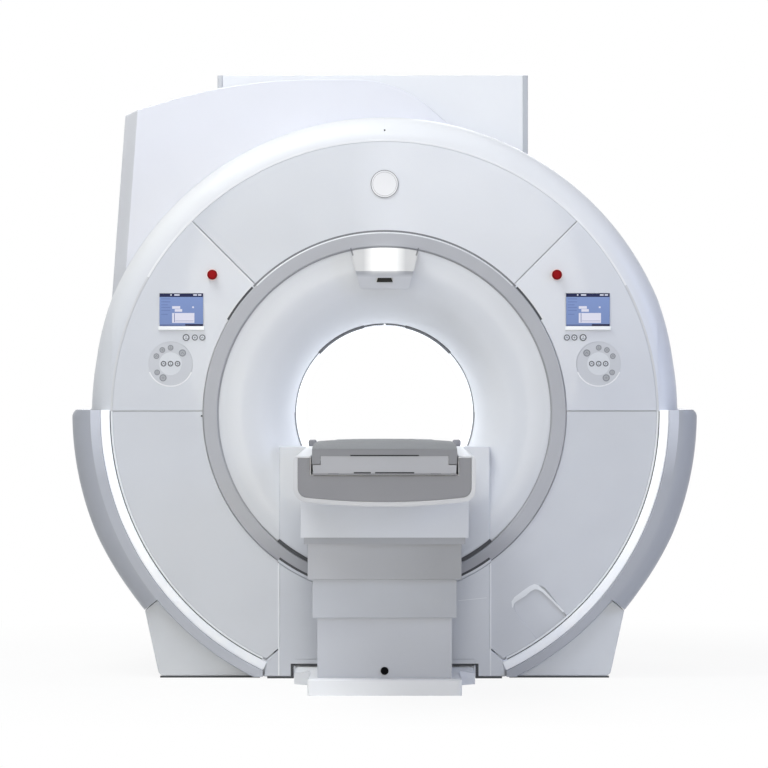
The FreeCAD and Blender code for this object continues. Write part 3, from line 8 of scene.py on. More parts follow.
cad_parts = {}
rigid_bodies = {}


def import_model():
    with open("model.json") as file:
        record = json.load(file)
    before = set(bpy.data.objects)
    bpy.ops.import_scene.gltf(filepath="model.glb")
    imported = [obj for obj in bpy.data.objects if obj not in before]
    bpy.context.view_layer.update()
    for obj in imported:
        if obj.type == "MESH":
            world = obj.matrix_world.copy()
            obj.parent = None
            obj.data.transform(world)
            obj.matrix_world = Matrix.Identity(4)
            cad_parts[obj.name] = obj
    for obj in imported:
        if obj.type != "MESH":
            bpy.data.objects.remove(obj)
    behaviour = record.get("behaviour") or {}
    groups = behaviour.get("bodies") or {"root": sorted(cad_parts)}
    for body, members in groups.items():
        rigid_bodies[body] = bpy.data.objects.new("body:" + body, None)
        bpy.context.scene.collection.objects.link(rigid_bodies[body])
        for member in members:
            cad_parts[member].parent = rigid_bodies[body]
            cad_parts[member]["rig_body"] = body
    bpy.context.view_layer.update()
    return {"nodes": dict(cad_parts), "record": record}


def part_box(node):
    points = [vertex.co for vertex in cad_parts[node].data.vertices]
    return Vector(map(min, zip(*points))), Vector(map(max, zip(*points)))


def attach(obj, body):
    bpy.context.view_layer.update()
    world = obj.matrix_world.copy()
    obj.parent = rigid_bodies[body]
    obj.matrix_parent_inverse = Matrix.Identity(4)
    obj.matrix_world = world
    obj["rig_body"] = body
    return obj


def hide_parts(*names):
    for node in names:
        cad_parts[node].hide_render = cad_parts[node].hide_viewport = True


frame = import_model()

scene = bpy.context.scene
nodes = frame["nodes"]
slotOf = {part["node"]: part["material_slot"] for part in frame["record"]["subparts"]}
bodyOf = {name: item["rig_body"] for name, item in nodes.items()}
boreHeight = 1.06  # the bore's axis above the floor, in metres
print("frame loaded:", len(nodes), "nodes")


# Shader maths: a socket with the operators that the materials use

class Flow:
    def __init__(self, tree, socket):
        self.tree = tree
        self.socket = socket

    def math(self, operation, *values):
        node = self.tree.nodes.new("ShaderNodeMath")
        node.operation = operation
        for slot, value in zip(node.inputs, values):
            if isinstance(value, Flow):
                self.tree.links.new(value.socket, slot)
            else:
                slot.default_value = value
        return Flow(self.tree, node.outputs[0])

    def __add__(self, other):
        return self.math("ADD", self, other)

    def __sub__(self, other):
        return self.math("SUBTRACT", self, other)

    def __mul__(self, other):
        return self.math("MULTIPLY", self, other)

    def __gt__(self, other):
        return self.math("GREATER_THAN", self, other)

    def __lt__(self, other):
        return self.math("LESS_THAN", self, other)

    def __radd__(self, other):
        return self.math("ADD", other, self)

    def __rsub__(self, other):
        return self.math("SUBTRACT", other, self)

    def __rmul__(self, other):
        return self.math("MULTIPLY", other, self)

    def __abs__(self):
        return self.math("ABSOLUTE", self)

    def between(self, low, high):
        return (self > low) * (self < high)

    def ramp(self, low, high):  # 0 at low, 1 at high, held outside
        node = self.tree.nodes.new("ShaderNodeMapRange")
        node.inputs["From Min"].default_value = low
        node.inputs["From Max"].default_value = high
        self.tree.links.new(self.socket, node.inputs["Value"])
        return Flow(self.tree, node.outputs["Result"])


class Finish:
    def __init__(self, name, colour, roughness, **fixed):
        self.material = bpy.data.materials.new(name)
        self.material.use_nodes = True
        self.tree = self.material.node_tree
        self.shader = self.tree.nodes["Principled BSDF"]
        self.material.diffuse_color = (*colour, 1)
        self.shader.inputs["Base Color"].default_value = (*colour, 1)
        self.shader.inputs["Roughness"].default_value = roughness
        for key, value in fixed.items():
            self.shader.inputs[key.replace("_", " ")].default_value = value
        self.point = self.node("ShaderNodeTexCoord", {}, {}, "Object")

    def node(self, kind, settings, inputs, output=0):
        node = self.tree.nodes.new(kind)
        for key, value in settings.items():
            setattr(node, key, value)
        for key, value in inputs.items():
            self.feed(node.inputs[key], value)
        return Flow(self.tree, node.outputs[output])

    def feed(self, socket, value):
        if isinstance(value, Flow):
            self.tree.links.new(value.socket, socket)
        else:
            socket.default_value = value

    def axis(self, letter):
        return self.node("ShaderNodeSeparateXYZ", {}, {"Vector": self.point}, letter)

    def noise(self, scale, detail=3.0, stretch=None):
        place = self.point
        if stretch:
            place = self.node("ShaderNodeMapping", {}, {"Vector": self.point, "Scale": stretch})
        return self.node("ShaderNodeTexNoise", {}, {"Vector": place, "Scale": scale, "Detail": detail})

    def blend(self, factor, first, second):
        first = (*first, 1) if isinstance(first, tuple) else first
        second = (*second, 1) if isinstance(second, tuple) else second
        return self.node("ShaderNodeMix", {"data_type": "RGBA"}, {0: factor, 6: first, 7: second}, 2)

    def paint(self, colour=None, roughness=None, height=None, strength=0.1, distance=0.001):
        if colour is not None:
            self.feed(self.shader.inputs["Base Color"], colour)
        if roughness is not None:
            self.feed(self.shader.inputs["Roughness"], roughness)
        if height is not None:
            relief = self.node("ShaderNodeBump", {}, {"Height": height, "Strength": strength,
                                                      "Distance": distance}, "Normal")
            self.feed(self.shader.inputs["Normal"], relief)
        return self

    def tinted(self, factor, tint):  # the base colour times tint where factor is 1
        now = Flow(self.tree, self.shader.inputs["Base Color"].links[0].from_socket)
        return self.paint(self.node("ShaderNodeMix", {"data_type": "RGBA", "blend_type": "MULTIPLY"},
                                    {0: factor, 6: now, 7: (*tint, 1)}, 2))

    def radius(self):  # distance from the bore's axis
        out, up = self.axis("X"), self.axis("Z") - boreHeight
        squares = out * out + up * up
        return squares.math("SQRT", squares)

    def faded(self, letter, start, end, tint):  # tinted along one axis, fully from end on
        return self.tinted(self.axis(letter).ramp(start, end), tint)


def shadeOf(colour, factor):
    return tuple(min(1, part * factor) for part in colour)


def moulded(name, colour, roughness, grain=900, relief=0.05, mottle=0.035, haze=0.07, **fixed):
    # painted or moulded plastic: fine grain, broad uneven tone, patches of slightly duller gloss
    finish = Finish(name, colour, roughness, **fixed)
    broad = finish.noise(2.3, 2.0).ramp(0.3, 0.7)
    fine = finish.noise(grain, 2.0)
    tone = finish.blend(broad, shadeOf(colour, 1 - mottle), shadeOf(colour, 1 + mottle * 0.4))
    speck = finish.blend(fine.ramp(0.55, 0.75) * 0.25, tone, shadeOf(colour, 1 - mottle * 2))
    smear = finish.noise(7, 4.0, (1.0, 0.5, 1.8)).ramp(0.35, 0.75)
    return finish.paint(speck, roughness + smear * haze + fine * 0.03, fine, relief, 0.0004)


print("materials")
finishes = {
    "cover_white": moulded("coverPaint", (0.785, 0.80, 0.832), 0.34, 700, 0.04, Coat_Weight=0.15),
    "panel_grey": moulded("panelPaint", (0.648, 0.67, 0.707), 0.34, 750, 0.04, Coat_Weight=0.12),
    "bell_white": moulded("bellPaint", (0.782, 0.798, 0.83), 0.38, 800, 0.05, Coat_Weight=0.08),
    "trim_grey": moulded("trimPlastic", (0.445, 0.452, 0.48), 0.44, 1100, 0.08),
    "coil_resin": moulded("coilResin", (0.55, 0.47, 0.32), 0.55, 160, 0.3, 0.12),
    "bumper_grey": moulded("bumperPaint", (0.375, 0.392, 0.44), 0.36, 1300, 0.06, Coat_Weight=0.15),
    "key_grey": moulded("keyPlastic", (0.69, 0.71, 0.745), 0.45, 1300, 0.06),
    "cradle_grey": moulded("trayGlassFibre", (0.247, 0.251, 0.271), 0.46, 420, 0.14, 0.06),
    "cap_grey": moulded("capPlastic", (0.265, 0.267, 0.286), 0.46, 1200, 0.1),
    "frame_steel": moulded("framePaint", (0.30, 0.31, 0.33), 0.5, 260, 0.25, 0.08),
    "stop_red": moulded("stopMoulding", (0.315, 0.006, 0.008), 0.6, 1500, 0.03, Specular_IOR_Level=0.1),
    "window_dark": moulded("windowGlass", (0.03, 0.029, 0.026), 0.65, 1500, 0.01, Specular_IOR_Level=0.15),
}


def brushed(name, colour, roughness, stretch):
    finish = Finish(name, colour, roughness, Metallic=1.0)
    lines = finish.noise(160, 3.0, stretch)
    patches = finish.noise(3, 3.0).ramp(0.3, 0.7)
    tone = finish.blend(patches, shadeOf(colour, 0.88), shadeOf(colour, 1.05))
    return finish.paint(tone, roughness + lines * 0.16, lines, 0.12, 0.0003)


finishes["magnet_steel"] = brushed("vesselSteel", (0.62, 0.63, 0.64), 0.3, (1.0, 12.0, 1.0))
finishes["column_metal"] = brushed("columnAluminium", (0.68, 0.69, 0.71), 0.28, (12.0, 12.0, 0.6))

glow = {"colour": (0.85, 0.865, 0.89), "strength": 0.27, "roughness": 0.5}


def lightGuide():
    # milky light guide, its glow and colour painted darker towards the bottom as painted shade
    finish = Finish("lightGuide", glow["colour"], glow["roughness"], Emission_Strength=glow["strength"])
    cloud = finish.noise(14, 2.0).ramp(0.3, 0.7)
    low = finish.axis("Z").ramp(0.05, 1.0)
    warm = finish.blend(cloud, (0.90, 0.92, 0.96), (1.0, 1.0, 1.0))
    finish.feed(finish.shader.inputs["Emission Color"], finish.blend(low, (0.66, 0.68, 0.72), warm))
    return finish.paint(warm, None, finish.noise(600), 0.04, 0.0003)


finishes["strip_white"] = lightGuide()
# painted shade: the strip's lower part darker still
finishes["strip_white"].faded("Z", 0.65, 0.15, (0.72, 0.73, 0.75))
# painted shade: the front bell darker towards its outer edge, lighter near the bore
finishes["bell_white"].tinted(finishes["bell_white"].radius().ramp(0.50, 0.635), (0.81, 0.815, 0.825))
# shell paints with painted shade: darker lower down, the right side's shade bluer
shellPaint = {}
for word, tint in (("left", (0.80, 0.815, 0.84)), ("right", (0.855, 0.88, 0.95))):
    shellPaint[word] = moulded("shellPaint" + word.capitalize(), (0.80, 0.812, 0.84), 0.34, 700, 0.04,
                               Coat_Weight=0.15).faded("Z", 1.85, 1.3, tint)
# painted shade: the column cover darker towards its lower left
columnPaint = moulded("columnPaint", (0.645, 0.667, 0.712), 0.34, 700, 0.04, Coat_Weight=0.15)
columnPaint.tinted(columnPaint.axis("Z").ramp(0.75, 0.35) * columnPaint.axis("X").ramp(0.3, -0.3),
                   (0.87, 0.875, 0.90))
turretPaint = moulded("turretPaint", (0.71, 0.724, 0.79), 0.34, 700, 0.04, Coat_Weight=0.15)
# a darker copy of the turret's paint, as painted shade
turretCheek = moulded("turretCheek", (0.62, 0.632, 0.675), 0.36, 700, 0.04)
# the wing's front band: a lit copy of the bumper paint, darker lower down as painted shade
bandLitPaint = {}
bandLitTop = 1.6  # how much lighter the band is painted at its top than the bumper, as painted light
for side, low in ((-1, 1.17), (1, 1.0)):
    band = moulded("bandPaintLeft" if side < 0 else "bandPaintRight", shadeOf((0.375, 0.392, 0.44), bandLitTop),
                   0.34, 1300, 0.06)
    bandLitPaint[side] = band.faded("Z", 1.03, 0.80, (low / bandLitTop,) * 3)
# each front panel's paint lit or shaded by its own factor, as painted light and shade
panelPaint = {"front_panel_top": 1.06, "console_panel_left": 0.965, "console_panel_right": 1.05,
              "lower_panel_left": 0.93, "lower_panel_right": 0.90}
for name, factor in panelPaint.items():
    words = "".join(word.capitalize() for word in name.split("_"))
    panelPaint[name] = moulded("paint" + words, shadeOf((0.643, 0.665, 0.715), factor), 0.34, 750, 0.04,
                               Coat_Weight=0.12)
# painted reflection: the top panel darker on its left
panelPaint["front_panel_top"].faded("X", 0.03, -0.13, (0.895, 0.90, 0.905))
# painted shade: the top panel and the right console darker lower down
panelPaint["front_panel_top"].faded("Z", 2.05, 1.75, (0.94, 0.94, 0.94))
panelPaint["console_panel_right"].faded("Z", 1.72, 1.2, (0.90, 0.90, 0.91))

hide = {"colour": (0.293, 0.304, 0.315), "crease": (0.19, 0.196, 0.203), "grain": 520, "pores": 1400}


def coatedFabric(name, seams=()):
    # coated fabric: cells of leather grain, pores, stitches along the seams
    finish = Finish(name, hide["colour"], 0.5, Sheen_Weight=0.12, Sheen_Roughness=0.5)
    cells = finish.node("ShaderNodeTexVoronoi", {"feature": "DISTANCE_TO_EDGE"},
                        {"Vector": finish.point, "Scale": hide["grain"]}, "Distance")
    pores = finish.noise(hide["pores"], 2.0)
    broad = finish.noise(5, 3.0).ramp(0.3, 0.7)
    ridge = cells.ramp(0.0, 0.22)
    tone = finish.blend(broad, shadeOf(hide["colour"], 0.9), shadeOf(hide["colour"], 1.06))
    tone = finish.blend(ridge, hide["crease"], tone)
    height = ridge * 0.7 + pores * 0.3
    along, across = finish.axis("Y"), finish.axis("X")
    for seam in seams:
        beside = abs(abs(along - seam) - 0.007) < 0.0011
        stitch = beside * (across.math("SINE", across * 1250.0) > -0.2)
        tone = finish.blend(stitch, tone, (0.42, 0.43, 0.44))
        height = height + stitch * 0.8
    return finish.paint(tone, 0.42 + broad * 0.12 + (1 - ridge) * 0.1, height, 0.28, 0.0006)


finishes["pad_grey"] = coatedFabric("bolsterCloth")

screenPlan = {
    "middle": (0.813, 1.4750), "half": (0.0871, 0.0656),
    "field": (0.20, 0.285, 0.55), "bar": (0.002, 0.006, 0.055), "box": (0.74, 0.74, 0.86),
    "line": (0.10, 0.15, 0.36), "strength": 0.8,
}


def screenFace(name, side):
    # a lit display: title bar, a list of dark lines, two light boxes and a dark foot bar, no words
    finish = Finish(name, screenPlan["field"], 0.4, Emission_Strength=screenPlan["strength"],
                    Coat_Weight=0.0, Specular_IOR_Level=0.15)
    midX, midZ = screenPlan["middle"]
    halfX, halfZ = screenPlan["half"]
    u = (finish.axis("X") - side * midX) * (1 / halfX)
    v = (finish.axis("Z") - midZ) * (1 / halfZ)

    def area(left, right, low, high):
        return u.between(left, right) * v.between(low, high)

    field = screenPlan["field"]
    picture = finish.blend(v.ramp(-1, 1), shadeOf(field, 0.92), shadeOf(field, 1.08))
    rows = (-0.28, -0.04, 0.14, 0.30, 0.48, 0.66)
    for index, row in enumerate(rows):
        right = -0.50 if index % 3 else -0.62
        bar = area(-0.92, right, row - 0.025, row + 0.025)
        picture = finish.blend(bar * 0.6, picture, screenPlan["line"])
    for left, right, low, high in ((-0.42, 0.60, -0.80, -0.20), (-0.42, -0.05, 0.06, 0.22),
                                   (-0.30, 0.04, -0.12, 0.04), (0.50, 0.58, 0.10, 0.20)):
        picture = finish.blend(area(left, right, low, high), picture, screenPlan["box"])
    picture = finish.blend(area(-0.33, -0.30, -0.76, -0.22), picture, screenPlan["line"])
    picture = finish.blend(area(-0.28, 0.56, -0.70, -0.66) * 0.5, picture, screenPlan["line"])
    picture = finish.blend(area(-2, 2, 0.78, 2), picture, screenPlan["bar"])
    for left, right in ((-0.50, -0.44), (-0.32, -0.08), (0.55, 0.72), (0.77, 0.92)):
        picture = finish.blend(area(left, right, 0.86, 0.94), picture, (0.75, 0.78, 0.9))
    picture = finish.blend(area(0.18, 2, -2, -0.87), picture, (0.01, 0.012, 0.05))
    picture = finish.blend(area(-2, 0.18, -2, -0.9) * 0.5, picture, screenPlan["bar"])
    finish.feed(finish.shader.inputs["Emission Color"], picture)
    return finish.paint(finish.blend(0.85, picture, (0.01, 0.01, 0.015)))


screenSides = {-1: screenFace("screenLeft", -1), 1: screenFace("screenRight", 1)}
ink = moulded("keyInk", (0.11, 0.115, 0.13), 0.5, 1500, 0.03)
paleInk = moulded("keyInkPale", (0.26, 0.27, 0.295), 0.5, 1500, 0.03)
slitBlack = moulded("slitShadow", (0.03, 0.03, 0.033), 0.8, 900, 0.05)
plugBlack = moulded("plugRubber", (0.004, 0.004, 0.005), 0.9, 900, 0.1, Specular_IOR_Level=0.1)
gasket = moulded("jointGasket", (0.66, 0.67, 0.69), 0.7, 900, 0.08)
paleSeal = moulded("paleSeal", (0.86, 0.87, 0.89), 0.6, 900, 0.06)
greyTrim = moulded("greyTrim", (0.20, 0.205, 0.22), 0.55, 900, 0.08)
darkTrim = moulded("darkTrim", (0.06, 0.063, 0.07), 0.6, 900, 0.08)
ledgeWhite = moulded("ledgeWhite", (0.90, 0.91, 0.93), 0.3, 900, 0.03, Coat_Weight=0.2)
cheekGrey = moulded("cheekGrey", (0.57, 0.585, 0.615), 0.4, 900, 0.05)
cheekShade = moulded("cheekShade", (0.46, 0.48, 0.52), 0.4, 900, 0.05)
tubPaint = moulded("tubPaint", (0.74, 0.755, 0.785), 0.36, 800, 0.04, Coat_Weight=0.12)
tubRimShade = moulded("tubRimPaint", (0.59, 0.605, 0.645), 0.36, 800, 0.04, Coat_Weight=0.12)
lobePaint = moulded("lobePaint", (0.76, 0.775, 0.81), 0.4, 700, 0.05)
liftEdgeHighlight = moulded("liftPaintEdge", (0.70, 0.72, 0.76), 0.3, 900, 0.04)
basePaint = moulded("basePaint", (0.94, 0.95, 0.97), 0.4, 700, 0.05)
badgePaint = moulded("badgePaint", (0.69, 0.70, 0.735), 0.3, 900, 0.03, Coat_Weight=0.2)
keyDark = moulded("keyFaceGrey", (0.40, 0.412, 0.44), 0.45, 1300, 0.05)
stopRim = moulded("stopRim", (0.23, 0.004, 0.005), 0.6, 1500, 0.03, Specular_IOR_Level=0.1)
stopCollar = moulded("stopCollar", (0.86, 0.74, 0.74), 0.35, 1200, 0.04)


def hoodPaint():
    # painted highlight: white in the middle of the face, a shade greyer towards both sides; the lower slope
    # painted darker as painted shade
    finish = moulded("hoodPaint", (0.9, 0.905, 0.91), 0.3, 800, 0.03, Coat_Weight=0.2)
    middle = abs(finish.axis("X")).ramp(0.084, 0.046) * finish.axis("Z").ramp(1.606, 1.632)
    tone = finish.blend(middle, (0.49, 0.502, 0.53), (0.95, 0.95, 0.95))
    return finish.paint(finish.blend(finish.axis("Z").ramp(1.618, 1.604), tone, (0.72, 0.73, 0.762)))


hoodSheen = hoodPaint()
dishGrey = moulded("keypadDish", (0.585, 0.60, 0.637), 0.45, 1300, 0.06)
# painted light: the bore liner and a band at the bore's edge glow though no lamp is there
litLiner = moulded("litLiner", (0.86, 0.87, 0.88), 0.4, 800, 0.03, Emission_Strength=0.85,
                   Emission_Color=(0.96, 0.98, 1.0, 1))
# each lift cover's paint lit or shaded by its own tone, as painted light and shade
liftShadedPaint = {
    "lift_cover_1": moulded("liftPaintUpper", (0.70, 0.72, 0.765), 0.34, 900, 0.05),
    "lift_cover_2": moulded("liftPaintSecond", (0.475, 0.485, 0.517), 0.34, 900, 0.05),
    "lift_cover_3": moulded("liftPaintThird", (0.52, 0.54, 0.585), 0.34, 900, 0.05),
    "lift_cover_4": moulded("liftPaintLowest", (0.555, 0.573, 0.62), 0.34, 900, 0.05),
}
# painted reflection and shade: the second and third covers darker towards their right
liftShadedPaint["lift_cover_2"].faded("X", -0.24, 0.20, (0.74, 0.74, 0.74))
liftShadedPaint["lift_cover_3"].faded("X", -0.05, 0.22, (0.88, 0.88, 0.88))
# painted shade: the table body's front faces darker, more so low down
tubRimShade.faded("Z", 0.81, 0.765, (0.86, 0.86, 0.86))
recessGlint = moulded("recessGlint", (0.80, 0.82, 0.85), 0.35, 900, 0.03)
ringPaint = moulded("ringPaint", (0.44, 0.447, 0.475), 0.44, 1100, 0.08)
# painted shade: the ring darker low down
ringPaint.faded("Z", 0.60, 0.50, (0.80, 0.80, 0.82))
lipGrey = moulded("lipGrey", (0.36, 0.366, 0.39), 0.5, 900, 0.05)
ringGlint = moulded("ringGlint", (0.74, 0.75, 0.775), 0.34, 900, 0.04)
liftShade = moulded("liftPaintLip", (0.40, 0.41, 0.44), 0.4, 900, 0.05)
finishes["screen"] = moulded("displayFrame", (0.62, 0.64, 0.68), 0.4, 1200, 0.05)
for name, item in nodes.items():
    item.data.materials.clear()
    item.data.materials.append(finishes[slotOf[name]].material)


# Mesh tools

def fromNode(name):
    mesh = bmesh.new()
    mesh.from_mesh(nodes[name].data)
    bmesh.ops.remove_doubles(mesh, verts=mesh.verts, dist=0.00002)
    bmesh.ops.dissolve_limit(mesh, angle_limit=math.radians(0.6), verts=mesh.verts, edges=mesh.edges,
                             delimit={"NORMAL"})
    return mesh


def outward(mesh):
    bmesh.ops.recalc_face_normals(mesh, faces=mesh.faces)


def capped(mesh):
    bmesh.ops.holes_fill(mesh, edges=[edge for edge in mesh.edges if edge.is_boundary], sides=0)


def whole(mesh):
    return list(mesh.verts) + list(mesh.edges) + list(mesh.faces)


def swung(mesh, verts, centre, degrees, axis="Y"):
    bmesh.ops.rotate(mesh, verts=verts, cent=centre, matrix=Matrix.Rotation(math.radians(degrees), 3, axis))


def soften(mesh, width, segments=2, angle=40, where=None, outside=False):
    edges = [edge for edge in mesh.edges
             if edge.is_manifold and edge.calc_face_angle(0) > math.radians(angle)]
    if outside:
        edges = [edge for edge in edges if edge.is_convex]
    if where:
        edges = [edge for edge in edges if where((edge.verts[0].co + edge.verts[1].co) / 2)]
    bmesh.ops.bevel(mesh, geom=edges, offset=width, offset_type="OFFSET", segments=segments, profile=0.5,
                    affect="EDGES", material=-1, clamp_overlap=True)
    return mesh


def keep(name, mesh, finish, body, stands=(), sharp=35):
    data = bpy.data.meshes.new(name)
    mesh.to_mesh(data)
    mesh.free()
    piece = bpy.data.objects.new(name, data)
    scene.collection.objects.link(piece)
    for each in finish if isinstance(finish, list) else [finish]:
        data.materials.append(each.material)
    data.polygons.foreach_set("use_smooth", [True] * len(data.polygons))
    data.set_sharp_from_angle(angle=math.radians(sharp))
    weights = piece.modifiers.new("weights", "WEIGHTED_NORMAL")
    weights.keep_sharp = True
    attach(piece, body)
    if stands:
        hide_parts(*stands)
    return piece


def added(name, mesh, finish):
    # a detail of the gantry that no CAD node stands for
    return keep(name, mesh, finish, "gantry")


def stand(name, mesh, finish=None, sharp=35):
    # a piece in the place of the CAD node of that name, on its body and with its slot
    words = name.split("_")
    title = words[0] + "".join(word.capitalize() for word in words[1:])
    return keep(title, mesh, finish or finishes[slotOf[name]], bodyOf[name], (name,), sharp)


def refined(name, width, segments=2, finish=None):
    # a merged copy of a CAD node with its edges softened
    return stand(name, soften(fromNode(name), width, segments), finish)


def join(mesh, other):
    carried = bpy.data.meshes.new("carried")
    other.to_mesh(carried)
    other.free()
    mesh.from_mesh(carried)
    bpy.data.meshes.remove(carried)


def mirrored(mesh, side):
    # built on the left, turned over for the right
    if side > 0:
        bmesh.ops.scale(mesh, verts=mesh.verts, vec=(-1, 1, 1))
        outward(mesh)
    return mesh


def section(corners, rounds):
    # a closed outline of (radius, y), its corners rounded where rounds gives a size and steps
    mesh = bmesh.new()
    points = [mesh.verts.new((radius, y, 0)) for radius, y in corners]
    face = mesh.faces.new(points)
    for index, (size, steps) in rounds.items():
        bmesh.ops.bevel(mesh, geom=[points[index]], offset=size, offset_type="OFFSET", segments=steps,
                        profile=0.5, affect="VERTICES", material=-1)
    bmesh.ops.delete(mesh, geom=list(mesh.faces), context="FACES_ONLY")
    return mesh


def turned(corners, rounds, start=0, sweep=360, steps=256):
    # an outline spun about the bore's axis; angles run from +X over the top
    mesh = section(corners, rounds)
    swung(mesh, mesh.verts, (0, 0, 0), -start)
    bmesh.ops.translate(mesh, verts=mesh.verts, vec=(0, 0, boreHeight))
    full = abs(sweep) >= 360
    bmesh.ops.spin(mesh, geom=list(mesh.verts) + list(mesh.edges), cent=(0, 0, boreHeight),
                   axis=(0, -1, 0), dvec=(0, 0, 0), angle=math.radians(sweep), steps=steps,
                   use_merge=full, use_duplicate=False)
    bmesh.ops.remove_doubles(mesh, verts=mesh.verts, dist=0.00001)
    if not full:
        capped(mesh)
    outward(mesh)
    return mesh


inlayBack = -0.8392  # just inside the front panels, where thin lines laid on them begin


def flatArc(inner, outer, front, start, sweep, steps, back=inlayBack, rounds=None):
    corners = [(inner, back), (inner, front), (outer, front), (outer, back)]
    return turned(corners, rounds or {}, start, sweep, steps)


def cutOff(mesh, point, away):
    # everything on the side that away points to goes, and the cut is closed
    bmesh.ops.bisect_plane(mesh, geom=whole(mesh), dist=0.000001,
                           plane_co=point, plane_no=away, clear_outer=True, clear_inner=False)
    capped(mesh)
    outward(mesh)
    return mesh


def addDisc(mesh, x, y, z, radius, depth, material=0, segments=40, edge=0.0, steps=2):
    # a short round plug along Y, its front face at y
    made = bmesh.ops.create_cone(mesh, cap_ends=True, cap_tris=False, segments=segments, radius1=radius,
                                 radius2=radius, depth=depth)
    verts = made["verts"]
    swung(mesh, verts, (0, 0, 0), 90, "X")
    bmesh.ops.translate(mesh, verts=verts, vec=(x, y + depth / 2, z))
    faces = {face for vert in verts for face in vert.link_faces}
    for face in faces:
        face.material_index = material
    if edge:
        rims = {side for face in faces if len(face.verts) > 4 and face.calc_center_median().y < y + depth / 4
                for side in face.edges}
        bmesh.ops.bevel(mesh, geom=list(rims), offset=edge, offset_type="OFFSET", segments=steps, profile=0.5,
                        affect="EDGES", material=-1)
    return verts


def addRing(mesh, x, y, z, outer, inner, height, material=0, segments=40):
    # a flat closed ring standing height in front of y
    ring = bmesh.new()
    points = [ring.verts.new((x + radius, along, z)) for radius, along in
              ((outer, y + 0.0004), (outer, y - height), (inner, y - height), (inner, y + 0.0004))]
    edges = [ring.edges.new(pair) for pair in zip(points, points[1:] + points[:1])]
    bmesh.ops.spin(ring, geom=points + edges, cent=(x, 0, z), axis=(0, -1, 0), dvec=(0, 0, 0),
                   angle=math.radians(360), steps=segments, use_merge=True, use_duplicate=False)
    outward(ring)
    for face in ring.faces:
        face.material_index = material
    join(mesh, ring)


def addBar(mesh, x, y, z, width, rise, depth, material=0, turn=0.0):
    # a small raised bar whose back is at y
    made = bmesh.ops.create_cube(mesh, size=1)
    verts = made["verts"]
    bmesh.ops.scale(mesh, verts=verts, vec=(width, depth, rise))
    swung(mesh, verts, (0, 0, 0), turn)
    bmesh.ops.translate(mesh, verts=verts, vec=(x, y - depth / 2, z))
    for face in {face for vert in verts for face in vert.link_faces}:
        face.material_index = material
    return verts


# Bore, bells and ring

bell = {"bore": 0.35, "glow": 0.3592, "round": 0.2447, "edge": 0.6645, "throat": -0.5947, "face": -0.84,
        "seat": -0.8277}
bellMesh = turned([(bell["bore"], bell["throat"]), (bell["bore"], bell["face"]), (bell["edge"], bell["face"]),
                   (bell["edge"], bell["seat"]), (0.697, bell["seat"]), (0.697, -0.8217), (0.356, -0.8217),
                   (0.356, bell["throat"])],
                  {1: (0.2445, 20), 2: (0.002, 3), 6: (0.222, 8)})
stand("front_bell", bellMesh)
rearMesh = turned([(0.35, 0.6), (0.35, 0.82), (0.597, 0.82), (0.597, 0.814), (0.356, 0.814), (0.356, 0.6)],
                  {1: (0.2195, 16), 2: (0.002, 2), 4: (0.212, 8)})
stand("rear_bell", rearMesh)
tube = turned([(0.35, -0.5945), (0.356, -0.5945), (0.356, 0.5995), (0.35, 0.5995)], {})
stand("bore_liner", tube, litLiner)


def onFlare(radius, proud=0.0):
    # y of the front bell's flare at a radius, or a point standing proud of it
    middle = Vector((bell["bore"] + bell["round"], bell["throat"]))
    fall = math.sqrt(bell["round"] ** 2 - (middle.x - radius) ** 2)
    point = Vector((radius, bell["throat"] - fall))
    return point + (point - middle).normalized() * proud


def flareBand(inner, outer, start, sweep, steps=48, proud=0.0012):
    under = [onFlare(inner), onFlare(outer)]
    over = [onFlare(outer, proud), onFlare(inner, proud)]
    return turned([tuple(point) for point in under + over], {}, start, sweep, steps)


for word, start, sweep, inner, outer, finish in (
        ("Crown", 90.6, 12.8, 0.3580, 0.3624, darkTrim), ("Shoulder", 103.4, 34.0, 0.3556, 0.3642, darkTrim),
        ("Side", 137.4, 42.0, 0.3592, 0.3614, greyTrim), ("Foot", 179.4, 24.0, 0.3592, 0.3632, greyTrim)):
    for hand, begin in (("Left", start), ("Right", 180 - start - sweep)):
        added("boreEdge" + word + hand, flareBand(inner, outer, begin, sweep, 48, 0.002), finish)
added("boreGlow", flareBand(bell["bore"] + 0.0003, bell["glow"], -30.0, 240.0, 160), litLiner)
ring = {"inner": 0.668, "outer": 0.7262, "front": -0.848, "back": -0.828, "edge": 0.0055}
ringMesh = flatArc(ring["inner"], ring["outer"], ring["front"], 0, 360, 256, ring["back"],
                   {1: (ring["edge"], 4), 2: (ring["edge"], 4)})
for face in ringMesh.faces:  # painted highlight: the upper outside edge gets the light glint paint
    middle = face.calc_center_median()
    out = math.hypot(middle.x, middle.z - boreHeight)
    face.material_index = 1 if middle.z > boreHeight + 0.515 and out > ring["outer"] - 0.0048 else 0
stand("trim_ring", ringMesh, [ringPaint, ringGlint])
added("ringSeam", flatArc(0.7266, 0.7338, -0.8405, 44.2, 91.6, 72, -0.839), greyTrim)
added("bellLip", flatArc(0.6638, 0.6684, -0.8404, -42, 264, 192), lipGrey)
gaps = bmesh.new()
for inner, outer, start, index in ((0.6545, 0.6680, 230.0, 0), (0.7105, 0.7200, 234.0, 0),
                                   (0.7200, 0.7300, 234.0, 1)):
    arc = turned([(inner, -0.8455), (outer, -0.8455), (outer, -0.8484), (inner, -0.8484)], {}, start,
                 (270 - start) * 2, 56)  # dark gaps where the ring crosses the column's cover
    for face in arc.faces:
        face.material_index = index
    join(gaps, arc)
added("ringGaps", gaps, [darkTrim, columnPaint])
refined("bore_bridge", 0.002)
print("bore")

# Outer covers

